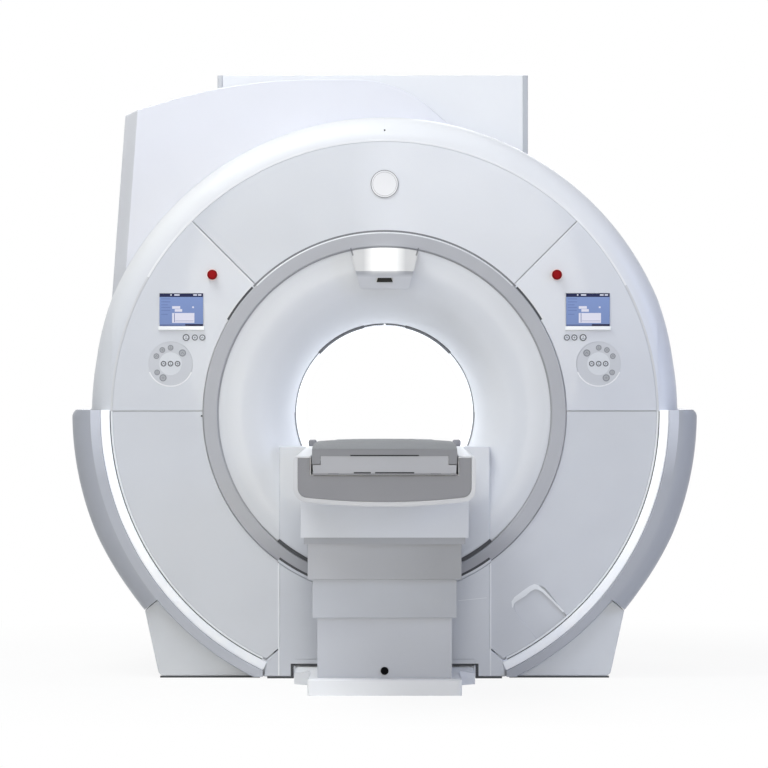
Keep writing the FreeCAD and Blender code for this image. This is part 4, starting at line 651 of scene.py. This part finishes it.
shell = {"reach": 1.19, "shoulder": 0.095, "panel": 1.095, "rear": 0.722, "gap": 0.0014, "floor": 0.008}
for side, word in ((-1, "left"), (1, "right")):
    half = turned([(shell["panel"], -0.84), (shell["reach"], -0.84), (shell["reach"], shell["rear"]),
                   (1.182, shell["rear"]), (1.182, -0.745), (1.111, -0.8197), (1.055, -0.8197),
                   (1.055, -0.8257), (shell["panel"], -0.8257)],
                  {1: (shell["shoulder"], 18), 0: (0.0012, 2)}, steps=288)
    cutOff(half, (side * shell["gap"], 0, 0), (-side, 0, 0))
    cutOff(half, (0, 0, shell["floor"]), (0, 0, -1))
    for vert in half.verts:  # a shade narrower than round above the wings
        inward = min(1, max(0, (vert.co.z - 1.045) / 0.025)) * min(1, max(0, (1.52 - vert.co.z) / 0.25))
        if abs(vert.co.x) > 1.1:
            vert.co.x *= 1 - 0.0105 * inward
    stand("shell_" + word, half, shellPaint[word])
backMesh = turned([(0.6, 0.82), (shell["reach"], 0.82), (shell["reach"], 0.725), (1.1817, 0.725),
                   (1.1817, 0.7), (1.1737, 0.7), (1.1737, 0.725), (1.095, 0.8057), (0.585, 0.8057),
                   (0.585, 0.8137), (0.6, 0.8137)],
                  {1: (shell["shoulder"], 18), 0: (0.0015, 2)}, steps=288)
cutOff(backMesh, (0, 0, shell["floor"]), (0, 0, -1))
stand("rear_cover", backMesh)

wing = {"top": 179.3, "split": 219.3, "foot": 248.0, "front": -0.862, "inner": 1.136, "band": 1.176,
        "outer": 1.244, "round": 0.068, "edge": 0.004, "rear": 0.3, "cut": 0.487}
contact = [(1.1902, -0.745), (1.1825, -0.783), (1.165, -0.8122), (wing["inner"], -0.8314)]
for side, word in ((-1, "left"), (1, "right")):
    upper = turned([(wing["inner"], wing["front"]), (wing["outer"], wing["front"]),
                    (wing["outer"], wing["rear"]), (1.1902, wing["rear"])] + contact,
                   {0: (wing["edge"], 4), 1: (wing["round"], 12), 2: (0.006, 3)},
                   wing["top"], wing["split"] - wing["top"], 72)
    for vert in upper.verts:  # the outside swells towards the top, its end corner is rounded
        reach = Vector((vert.co.x, 0, vert.co.z - boreHeight))
        share = min(1, max(0, (reach.length - 1.176) / 0.068))
        end = math.radians(wing["top"]) - math.atan2(reach.z, reach.x) % math.tau
        along = min(1, abs(end) * reach.length / 0.026)
        vert.co.x -= 0.0085 * share * min(1, max(0, (vert.co.z - 0.35) / 0.22))
        vert.co.x += 0.014 * share * (1 - along) ** 2
    lower = turned([(wing["inner"], wing["front"]), (wing["band"], wing["front"]), (wing["band"], -0.7945)]
                   + contact[2:],
                   {0: (wing["edge"], 4), 1: (wing["edge"], 4)}, wing["split"] - 0.02,
                   wing["foot"] - wing["split"], 48)
    cutOff(lower, (-wing["cut"], 0, 0), (1, 0, 0))
    cutOff(lower, (0, 0, shell["floor"]), (0, 0, -1))
    join(upper, lower)
    mirrored(upper, side)
    outward(upper)
    # painted light: the band's front faces take the lighter band paint
    for face in upper.faces:
        middle = face.calc_center_median()
        inner = math.hypot(middle.x, middle.z - boreHeight) < wing["band"] - 0.001
        face.material_index = 1 if inner and middle.y < wing["front"] + 0.003 else 0
    stand("wing_" + word, upper, [finishes["bumper_grey"], bandLitPaint[side]])

    strip = turned([(1.1000, -0.852), (1.1357, -0.852), (1.1357, -0.832), (1.1000, -0.8405)],
                   {0: (0.003, 3), 1: (0.003, 3)}, wing["top"], 244.6 - wing["top"], 96)
    stand("light_strip_" + word, mirrored(strip, side))
    # a dark gap line beside the light strip, and a painted highlight along the panel's edge
    for title, inner, outer, finish in (("stripGap", 1.0962, 1.0998, darkTrim),
                                        ("panelGlint", 1.0884, 1.0960, recessGlint)):
        line = flatArc(inner, outer, -0.8408, 179.5, 64.0, 96)
        added(title + word.capitalize(), mirrored(line, side), finish)
    refined("foot_cover_" + word, 0.004, 3)
    # painted shadow: a dark bar where each foot cover meets the floor
    plinth = bmesh.new()
    addBar(plinth, side * 0.70, -0.79, 0.0042, 0.40, 0.0076, 0.0075)
    added("plinth" + word.capitalize(), plinth, darkTrim)
turret = fromNode("turret_cover")
for vert in turret.verts:
    if vert.co.x < -0.95:
        vert.co.x -= 0.006
soften(turret, 0.006, 3)
# painted shade: faces turned to the left and front get the darker cheek paint
for face in turret.faces:
    face.normal_update()
    face.material_index = 1 if face.normal.x < -0.35 and face.normal.y < -0.2 else 0
stand("turret_cover", turret, [turretPaint, turretCheek])
box = soften(fromNode("service_box"), 0.003, 2)
for face in box.faces:
    middle = face.calc_center_median()
    face.material_index = 0
    # the side ribs' fronts take darker paint, the right one darker still as painted shade
    if middle.y < 0.12 and (middle.x < -0.6845 or middle.x > 0.5835):
        face.material_index = 1 if middle.x < 0 else 2
stand("service_box", box, [finishes["cover_white"], cheekGrey, cheekShade])
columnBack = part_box("dock_column_cover")[1].y
# the back rim is a thin wall, so its edges stay sharp: a wide bevel would fold it over itself
column = soften(fromNode("dock_column_cover"), 0.005, 4, where=lambda middle: middle.y < columnBack - 0.001,
                outside=True)
stand("dock_column_cover", column, columnPaint)
seamLine = bmesh.new()
low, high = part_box("service_box")
addBar(seamLine, -0.003, low.y, 2.325, 0.0022, 0.22, 0.0003)
added("boxSeam", seamLine, finishes["panel_grey"])
dots = bmesh.new()
addDisc(dots, 0.0, -0.8338, 2.194, 0.0035, 0.003, 0, 24)
addDisc(dots, -0.7318, -0.8404, 1.05, 0.0038, 0.003, 0, 24)
added("coverPins", dots, darkTrim)
notch = {"front": -0.846, "x": 0.3675, "top": 0.0555, "line": 0.008}
edges = bmesh.new()
for side in (-1, 1):
    addBar(edges, side * 0.3135, notch["front"], notch["top"], 0.100, notch["line"], 0.0008)
    addBar(edges, side * (notch["x"] + 0.002), notch["front"], 0.0335, 0.012, 0.052, 0.0008)
    # painted shadow: a dark bar under each column foot, where it meets the floor
    addBar(edges, side * 0.4165, notch["front"] + 0.0296, 0.005, 0.106, 0.0082, 0.03)
    addBar(edges, side * 0.3115, notch["front"] + 0.0002, 0.0682, 0.096, 0.0165, 0.001, 1)
    addBar(edges, side * 0.3615, notch["front"] + 0.0002, 0.034, 0.009, 0.05, 0.001, 1)
# painted highlights down the column cover's edges
columnGlint = bmesh.new()
for side in (-1, 1):
    addBar(columnGlint, side * 0.4235, -0.8402, 0.237, 0.0056, 0.450, 0.0064)
addBar(columnGlint, 0.351, -0.846, 0.3174, 0.114, 0.0022, 0.0004, 0, -5.9)
added("columnGlint", columnGlint, recessGlint)
added("notchEdge", edges, [darkTrim, columnPaint])
grips = bmesh.new()
for side in (-1, 1):
    addBar(grips, side * 0.2885, -0.795, 0.9415, 0.034, 0.027, 0.03)
soften(grips, 0.0085, 4)
added("sideGrips", grips, finishes["cap_grey"])
print("covers")

# Front panels with their consoles

for name in panelPaint:
    refined(name, 0.0012, 2, panelPaint[name])
recess = {"outer": ((0.5076, 0.290), (0.5056, 0.314), (0.5176, 0.332), (0.5496, 0.356), (0.5776, 0.376),
                    (0.5976, 0.384), (0.6156, 0.378), (0.6336, 0.362), (0.6736, 0.320), (0.7156, 0.2756)),
          "shift": (0.002, -0.006),
          "inner": ((0.5110, 0.290), (0.5176, 0.308), (0.5316, 0.318), (0.5606, 0.336), (0.5806, 0.354),
                    (0.5990, 0.363), (0.6116, 0.361), (0.6295, 0.352), (0.6700, 0.313), (0.7116, 0.270))}
glint = bmesh.new()  # painted highlight along the recess's bevel
lines = [[glint.verts.new((x + recess["shift"][0], y, z + recess["shift"][1])) for x, z in recess[key]]
         for key, y in (("outer", -0.8396), ("outer", -0.8405), ("inner", -0.8405), ("inner", -0.8396))]
for first, second in zip(lines, lines[1:] + lines[:1]):
    for index in range(len(first) - 1):
        glint.faces.new((first[index], first[index + 1], second[index + 1], second[index]))
for index in (0, -1):
    glint.faces.new([line[index] for line in lines])
outward(glint)
seams = bmesh.new()  # painted highlight along each diagonal seam
for side in (-1, 1):
    addBar(seams, side * 0.6502, -0.8398, boreHeight + 0.6438, 0.0042, 0.346, 0.0007, 0, side * 45)
added("seamGlint", seams, recessGlint)
added("recessGlint", glint, recessGlint)
backing = bmesh.new()  # behind the open seams between the panels
for side in (-1, 1):
    addBar(backing, side * 0.6470, -0.8257, boreHeight + 0.6470, 0.03, 0.37, 0.0006, 0, side * 45)
    addBar(backing, side * 0.911, -0.8257, 1.07, 0.37, 0.05, 0.0006)
added("seamGasket", backing, gasket)
# the seam round the panels: a painted highlight along its crown, grey at the sides
for word, start, sweep, finish in (("Crown", 28, 122, paleSeal), ("Left", 150, 30, gasket),
                                   ("Right", 0, 28, gasket)):
    joint = flatArc(1.0884, 1.0968, -0.8406, start, sweep, 96)
    added("shellJoint" + word, joint, finish)
slot = {"inner": 0.7264, "outer": 0.7350, "front": -0.8410, "back": -0.834, "start": 136.3, "sweep": 12.8}
for side, word in ((-1, "Left"), (1, "Right")):
    arc = flatArc(slot["inner"], slot["outer"], slot["front"], slot["start"], slot["sweep"], 32,
                  slot["back"], {2: (0.001, 2)})
    added("ringSlot" + word, mirrored(arc, side), darkTrim)
    lip = flatArc(slot["outer"], 0.743, -0.8402, slot["start"] - 0.1, slot["sweep"] + 0.2, 32, slot["back"])
    added("slotLip" + word, mirrored(lip, side), finishes["panel_grey"])
lining = turned([(1.094, inlayBack), (1.189, inlayBack), (1.189, 0.70), (1.184, 0.70), (1.184, -0.745),
                 (1.094, -0.835)], {1: (0.094, 12)}, 88, 4, 4)
added("crownSeam", lining, finishes["cover_white"])

pad = {"x": 0.8563, "z": 1.2592, "radius": 0.0884, "inner": 0.046, "face": -0.84, "circle": 0.064,
       "pitch": 0.028, "large": 0.0145, "small": 0.0115}
padKeys = [(42, True), (90, False), (121, False), (152, False), (213, False), (242, True)]
keyBox = {name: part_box(name) for name in nodes if name.startswith("key_")}


def addSymbol(mesh, x, y, z, size, kind, material):
    # plain generic marks: an arrow, a ring or a bar
    if kind % 3 == 0:
        addBar(mesh, x - size * 0.22, y, z, size * 0.18, size * 0.85, 0.0002, material, 35)
        addBar(mesh, x + size * 0.22, y, z, size * 0.18, size * 0.85, 0.0002, material, -35)
    elif kind % 3 == 1:
        addBar(mesh, x, y, z + size * 0.25, size * 0.16, size * 0.6, 0.0002, material)
        addBar(mesh, x, y, z - size * 0.3, size * 0.9, size * 0.16, 0.0002, material)
    else:
        addBar(mesh, x, y, z, size * 0.9, size * 0.16, 0.0002, material)
        addBar(mesh, x, y, z, size * 0.16, size * 0.9, 0.0002, material)


for side, word in ((-1, "left"), (1, "right")):
    x, z, face = side * pad["x"], pad["z"], pad["face"]
    dish = bmesh.new()
    addDisc(dish, x, face + 0.0006, z, pad["radius"], 0.010, 3, 96, 0.0012)
    addDisc(dish, x, face + 0.0001, z, pad["inner"], 0.008, 0, 72, 0.001)
    for index, (angle, large) in enumerate(padKeys):
        radius = pad["large"] if large else pad["small"]
        turn = math.radians(angle)
        u = x - side * pad["circle"] * math.cos(turn)
        v = z + pad["circle"] * math.sin(turn)
        addDisc(dish, u, face - 0.0002, v, radius, 0.006, 4, 32, 0.0008)
        addRing(dish, u, face - 0.0002, v, radius * 0.98, radius * 0.70, 0.0003, 1, 32)
        addSymbol(dish, u, face - 0.0002, v, radius * 0.9, index, 1)
    for place in (-1, 0, 1):
        u = x + place * pad["pitch"]
        addDisc(dish, u, face - 0.0006, z, pad["small"], 0.006, 0, 32, 0.0008)
        addRing(dish, u, face - 0.0006, z, pad["small"] * 0.98, pad["small"] * 0.62, 0.0003, 2, 32)
        addSymbol(dish, u, face - 0.0006, z, pad["small"] * 0.9, place + 1, 2)
    outward(dish)
    stand("keypad_" + word, dish, [finishes["key_grey"], paleInk, ink, dishGrey, keyDark])
    rim = bmesh.new()  # painted highlight on the dish's lower rim
    points = [rim.verts.new((x + radius, face + along, z)) for radius, along in
              ((0.0874, 0.0002), (0.0874, -0.0014), (0.0926, -0.0006), (0.0926, 0.0002))]
    sides = [rim.edges.new(pair) for pair in zip(points, points[1:] + points[:1])]
    swung(rim, rim.verts, (x, 0, z), 22)
    bmesh.ops.spin(rim, geom=points + sides, cent=(x, 0, z), axis=(0, 1, 0), dvec=(0, 0, 0),
                   angle=math.radians(136), steps=40, use_merge=False, use_duplicate=False)
    capped(rim)
    outward(rim)
    added("keypadRim" + word.capitalize(), rim, ledgeWhite)
    for index in (1, 2, 3):
        name = "key_%s_%d" % (word, index)
        low, high = keyBox[name]
        u, v = (low.x + high.x) / 2, (low.z + high.z) / 2
        radius = (high.z - low.z) / 2 - 0.002
        cap = bmesh.new()
        addDisc(cap, u, low.y, v, radius, 0.016, 0, 48, 0.0008)
        addDisc(cap, u, high.y - 0.002, v, radius + 0.002, 0.002, 0, 48)
        addRing(cap, u, low.y, v, radius * 0.98, radius * 0.68, 0.0003, 1, 40)
        addSymbol(cap, u, low.y, v, radius * 0.85, index, 1)
        outward(cap)
        stand(name, cap, [finishes["key_grey"], ink])

    frameMesh = soften(fromNode("display_" + word), 0.0012, 2)
    # painted highlight: the frame's lower ledge gets the ledge paint
    for face in frameMesh.faces:
        face.material_index = 1 if face.calc_center_median().z < 1.4091 else 0
    stand("display_" + word, frameMesh, [finishes["screen"], ledgeWhite])
    glass = bmesh.new()
    low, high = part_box("display_" + word)
    middle, halfX, halfZ = (low.x + high.x) / 2, screenPlan["half"][0], screenPlan["half"][1]
    addBar(glass, middle, low.y + 0.0078, screenPlan["middle"][1], halfX * 2, halfZ * 2, 0.0020)
    added("screen" + word.capitalize(), glass, screenSides[side])

    low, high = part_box("stop_button_" + word)
    u, v = (low.x + high.x) / 2, (low.z + high.z) / 2
    knob = bmesh.new()
    addDisc(knob, u, low.y, v, 0.02, 0.015, 0, 64, 0.0065, 6)
    addDisc(knob, u, low.y + 0.014, v, 0.011, 0.0245, 1, 40)
    addDisc(knob, u, high.y - 0.002, v, 0.015, 0.002, 1, 40)
    for each in knob.faces:
        spot = each.calc_center_median()
        if each.material_index == 0 and math.hypot(spot.x - u, spot.z - v) > 0.0142:
            each.material_index = 2
    stand("stop_button_" + word, knob, [finishes["stop_red"], gasket, stopRim])
    collar = bmesh.new()
    addRing(collar, u, -0.84, v, 0.0245, 0.0155, 0.0016, 0, 56)
    outward(collar)
    added("stopCollar" + word.capitalize(), collar, stopCollar)
print("consoles")

hood = soften(fromNode("camera_hood"), 0.014, 5, 12,
              lambda middle: 1.6 < middle.z < 1.64 and middle.y < -0.88)
soften(hood, 0.006, 4, 30)
stand("camera_hood", hood, hoodSheen)
pane = fromNode("laser_window")
for vert in pane.verts:
    vert.co.x *= 0.82 if vert.co.z > 1.593 else 0.98
stand("laser_window", soften(pane, 0.001, 2))
wedges = bmesh.new()
for side in (-1, 1):
    addBar(wedges, side * 0.1305, -0.9046, 1.705, 0.0062, 0.032, 0.0012, 0, side * 17)
added("hoodGaps", wedges, greyTrim)
badge = {"x": 0.0, "z": 1.978, "radius": 0.054, "front": -0.8443}
disc = bmesh.new()
addDisc(disc, badge["x"], badge["front"], badge["z"], badge["radius"], 0.004, 0, 128, 0.0012, 3)
addRing(disc, badge["x"], badge["front"] + 0.001, badge["z"], 0.0558, 0.0533, 0.0012, 1, 96)
addRing(disc, badge["x"], badge["front"], badge["z"], 0.0478, 0.0468, 0.0003, 1, 96)
outward(disc)
stand("badge_disc", disc, [badgePaint, greyTrim])
print("hood and badge")

# Table

for name, width in (("table_end_cap", 0.0015), ("cradle_end_handle", 0.002)):
    refined(name, width, 3)
keep("cradleTray", soften(fromNode("cradle"), 0.0012, 3), finishes["cradle_grey"], bodyOf["cradle"],
     ("cradle",))
tub = soften(fromNode("table_body"), 0.0025, 3)
# painted shade: faces turned to the front get the darker rim paint
for face in tub.faces:
    face.material_index = 1 if face.normal.y < -0.5 else 0
stand("table_body", tub, [tubPaint, tubRimShade])
plate = soften(fromNode("table_base"), 0.003, 3)
for vert in plate.verts:  # the docked end stands lower than the front
    if vert.co.z > 0.03 and (vert.co.y > -1.21 or abs(vert.co.x) > 0.2935):
        vert.co.z -= 0.016
# painted shade: the plate's side lobes darker than its middle
for face in plate.faces:
    face.material_index = 1 if abs(face.calc_center_median().x) > 0.2925 else 0
stand("table_base", plate, [basePaint, lobePaint])
for name in liftShadedPaint:
    low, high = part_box(name)
    skirt = soften(fromNode(name), 0.008, 4, 40, lambda middle: abs(middle.x) > high.x - 0.001
                   and low.z + 0.03 < middle.z < high.z - 0.03)
    soften(skirt, 0.0015, 2, 50)
    # painted shade on the first cover's lower lip; painted highlight on the rounded side edges
    for face in skirt.faces:
        middle = face.calc_center_median()
        face.material_index = 1 if name[-1] == "1" and middle.z < 0.607 and middle.y < low.y + 0.02 else 0
        face.normal_update()
        if abs(middle.x) > high.x - 0.0085 and 0.1 < abs(face.normal.x) < 0.97:
            face.material_index = 2
    stand(name, skirt, [liftShadedPaint[name], liftShade, liftEdgeHighlight])
slits = {"front": -3.0452, "top": 0.9325, "low": 0.8725, "rise": 0.0052}
# dark bars on the handle's face, painted as the shadow in its slits
marks = bmesh.new()
addBar(marks, -0.0775, slits["front"], slits["low"], 0.059, slits["rise"], 0.0004)
addBar(marks, 0.035, slits["front"], slits["low"], 0.136, slits["rise"], 0.0004)
keep("handleSlits", marks, slitBlack, "pull_handle")
trims = bmesh.new()  # on the tray: the bay's upper edge with a dark bar along it as painted shadow, and the ledge under the handle
addBar(trims, 0.0, -3.0459, slits["top"], 0.238, 0.0046, 0.0004, 1)
addBar(trims, 0.0, -3.0459, 0.8678, 0.498, 0.0052, 0.0004)
for side in (-1, 1):
    addBar(trims, side * 0.1705, -3.0459, slits["top"] - 0.0002, 0.104, 0.0036, 0.0003)
    addBar(trims, side * 0.178, -3.0459, 0.8692, 0.036, 0.0034, 0.0006, 2)
keep("bayTrims", trims, [finishes["cradle_grey"], slitBlack, greyTrim], "tray")
low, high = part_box("crank_plug")
plug = bmesh.new()
addDisc(plug, 0.0, low.y, (low.z + high.z) / 2, 0.015, 0.004, 0, 64, 0.0015, 3)
addDisc(plug, 0.0, low.y + 0.004, (low.z + high.z) / 2, 0.009, 0.008, 0, 40)
stand("crank_plug", plug, plugBlack)
print("table")

# Soft goods

mattress = {"voxel": 0.007, "pressure": 4.0, "cap": 0.008, "steps": 20, "inset": 0.003,
            "channels": (-2.2313, -1.5697), "depth": 0.006, "width": 0.012}
low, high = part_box("cradle_pad")
core = fromNode("cradle_pad")
outward(core)
middle = (low + high) / 2
shrink = Vector(((high.x - low.x - mattress["inset"] * 2) / (high.x - low.x),
                 (high.y - low.y - mattress["inset"] * 2) / (high.y - low.y),
                 (high.z - low.z - 0.004) / (high.z - low.z)))
bmesh.ops.translate(core, verts=core.verts, vec=(-middle.x, -middle.y, -low.z))
bmesh.ops.scale(core, verts=core.verts, vec=shrink)
bmesh.ops.translate(core, verts=core.verts, vec=(middle.x, middle.y, low.z + 0.0006))
padCloth = coatedFabric("mattressCloth", mattress["channels"])
padPiece = stand("cradle_pad", core, padCloth, 180)
padPiece.modifiers.clear()


def settled(piece):
    # the modifiers' result becomes the mesh
    shown = piece.evaluated_get(bpy.context.evaluated_depsgraph_get())
    mesh = bpy.data.meshes.new_from_object(shown)
    piece.modifiers.clear()
    old = piece.data
    piece.data = mesh
    bpy.data.meshes.remove(old)
    mesh.polygons.foreach_set("use_smooth", [True] * len(mesh.polygons))


grid = padPiece.modifiers.new("grid", "REMESH")
grid.mode = "VOXEL"
grid.voxel_size = mattress["voxel"]
settled(padPiece)
start = [vert.co.copy() for vert in padPiece.data.vertices]
cloth = padPiece.modifiers.new("cloth", "CLOTH")
cloth.settings.use_pressure = True
cloth.settings.uniform_pressure_force = mattress["pressure"]
cloth.settings.effector_weights.gravity = 0
cloth.settings.quality = 4
for step in range(1, mattress["steps"] + 1):
    scene.frame_set(step)
settled(padPiece)
scene.frame_set(1)
for vert, before in zip(padPiece.data.vertices, start):
    move = vert.co - before
    if move.length > mattress["cap"]:
        vert.co = before + move.normalized() * mattress["cap"]
for vert in padPiece.data.vertices:  # flat below, sewn channels above, inside the tray
    vert.co.z = max(vert.co.z, low.z)
    if vert.co.z > low.z + 0.012:
        for channel in mattress["channels"]:
            reach = (vert.co.y - channel) / mattress["width"]
            vert.co.z -= mattress["depth"] * math.exp(-reach * reach)
    vert.co.x = max(low.x, min(high.x, vert.co.x))
    vert.co.y = max(low.y, min(high.y, vert.co.y))
    vert.co.z = min(vert.co.z, high.z + 0.004)
level = padPiece.modifiers.new("level", "SUBSURF")
level.levels = level.render_levels = 1
settled(padPiece)

arch = {"half": 0.252, "drop": 0.009, "tuck": 0.035, "round": 0.013}
bolsterMesh = fromNode("foot_bolster")
for step in range(-6, 7):
    bmesh.ops.bisect_plane(bolsterMesh, geom=whole(bolsterMesh), dist=0.00001,
                           plane_co=(step * 0.037, 0, 0), plane_no=(1, 0, 0))
soften(bolsterMesh, arch["round"], 5, 40, lambda middle: middle.z > 0.955)
for vert in bolsterMesh.verts:  # the top arches, the sides lean in
    reach = abs(vert.co.x) / arch["half"]
    rise = (vert.co.z - 0.952) / 0.038
    vert.co.z -= arch["drop"] * reach ** 2.2 * max(0.0, rise)
    vert.co.x *= 1 - arch["tuck"] * max(0.0, rise) ** 1.5
bolster = stand("foot_bolster", bolsterMesh, None, 40)
print("soft goods")

# Works inside

for name in ("magnet_vessel", "base_frame", "cold_head", "vent_pipe", "lift_motor", "cradle_drive"):
    refined(name, 0.003, 2)
print("works")

# Floor, lamps, camera

stageSet = {"floor": 300.0, "background": 1.0, "ambient": 0.23}
ground = bmesh.new()
bmesh.ops.create_grid(ground, x_segments=1, y_segments=1, size=stageSet["floor"])
groundData = bpy.data.meshes.new("floor")
ground.to_mesh(groundData)
ground.free()
floor = bpy.data.objects.new("floor", groundData)
scene.collection.objects.link(floor)
pale = Finish("paleFloor", (0.95, 0.95, 0.95), 0.9)
rays = pale.node("ShaderNodeLightPath", {}, {}, "Is Camera Ray")
for kind in ("Is Glossy Ray", "Is Transmission Ray"):
    rays = rays.math("MAXIMUM", rays, pale.node("ShaderNodeLightPath", {}, {}, kind))
white = pale.node("ShaderNodeEmission", {}, {"Color": (1, 1, 1, 1), "Strength": 1.0})
away = pale.node("ShaderNodeVectorMath", {"operation": "LENGTH"}, {0: pale.point}, "Value").ramp(1.7, 3.4)
plain = Flow(pale.tree, pale.shader.outputs[0])
mixed = pale.node("ShaderNodeMixShader", {}, {0: rays * (0.9 + away * 0.1), 1: plain, 2: white})
pale.feed(pale.tree.nodes["Material Output"].inputs["Surface"], mixed)
groundData.materials.append(pale.material)

world = bpy.data.worlds.new("studio")
scene.world = world
world.use_nodes = True
sky = world.node_tree
back = sky.nodes["Background"]
path = sky.nodes.new("ShaderNodeLightPath")
shown = Flow(sky, path.outputs["Is Camera Ray"])
for kind in ("Is Glossy Ray", "Is Transmission Ray"):
    shown = shown.math("MAXIMUM", shown, Flow(sky, path.outputs[kind]))
level = shown * (stageSet["background"] - stageSet["ambient"]) + stageSet["ambient"]
back.inputs["Color"].default_value = (1.0, 1.0, 1.0, 1)
sky.links.new(level.socket, back.inputs["Strength"])

lamps = {  # place, aim, size, watts, tint
    "keyTop": ((-1.0, -6.5, 6.0), (0, -0.6, 1.3), 4.0, 118, (0.87, 0.905, 1.0)),
    "crown": ((-2.0, -2.4, 6.0), (-0.4, -0.8, 1.9), 2.5, 150, (0.98, 1.0, 0.97)),
    "front": ((0, -15, 1.6), (0, -0.5, 1.3), 3.0, 285, (1.0, 0.945, 0.80)),
    "fillRight": ((6.5, -5.5, 3.5), (0, -0.6, 1.2), 4.0, 119, (0.58, 0.69, 1.0)),
    "fillLeft": ((-6.5, -5.5, 3.5), (0, -0.6, 1.2), 4.0, 15, (0.9, 0.95, 1.0)),
    "behind": ((0, 8.0, 4.5), (0, 0, 1.2), 5.0, 260, (0.97, 0.98, 1.0)),
}
for name, (at, aim, size, power, tint) in lamps.items():
    data = bpy.data.lights.new(name, "AREA")
    data.shape = "DISK"
    data.size = size
    data.energy = power
    data.color = tint
    item = bpy.data.objects.new(name, data)
    item.location = at
    item.rotation_euler = (Vector(aim) - Vector(at)).to_track_quat("-Z", "Y").to_euler()
    item.visible_camera = False
    scene.collection.objects.link(item)

view = {"at": (0.0, -17.54, 1.2), "lens": 195.7, "sensor": 36.0, "shiftX": -0.0008, "shiftY": -0.00716}
lens = bpy.data.cameras.new("photoCamera")
lens.lens = view["lens"]
lens.sensor_width = view["sensor"]
lens.shift_x = view["shiftX"]
lens.shift_y = view["shiftY"]
lens.clip_end = 200
camera = bpy.data.objects.new("photoCamera", lens)
camera.location = view["at"]
camera.rotation_euler = (math.radians(90), 0, 0)
scene.collection.objects.link(camera)
scene.camera = camera
scene.view_settings.view_transform = "Standard"
print("stage set")
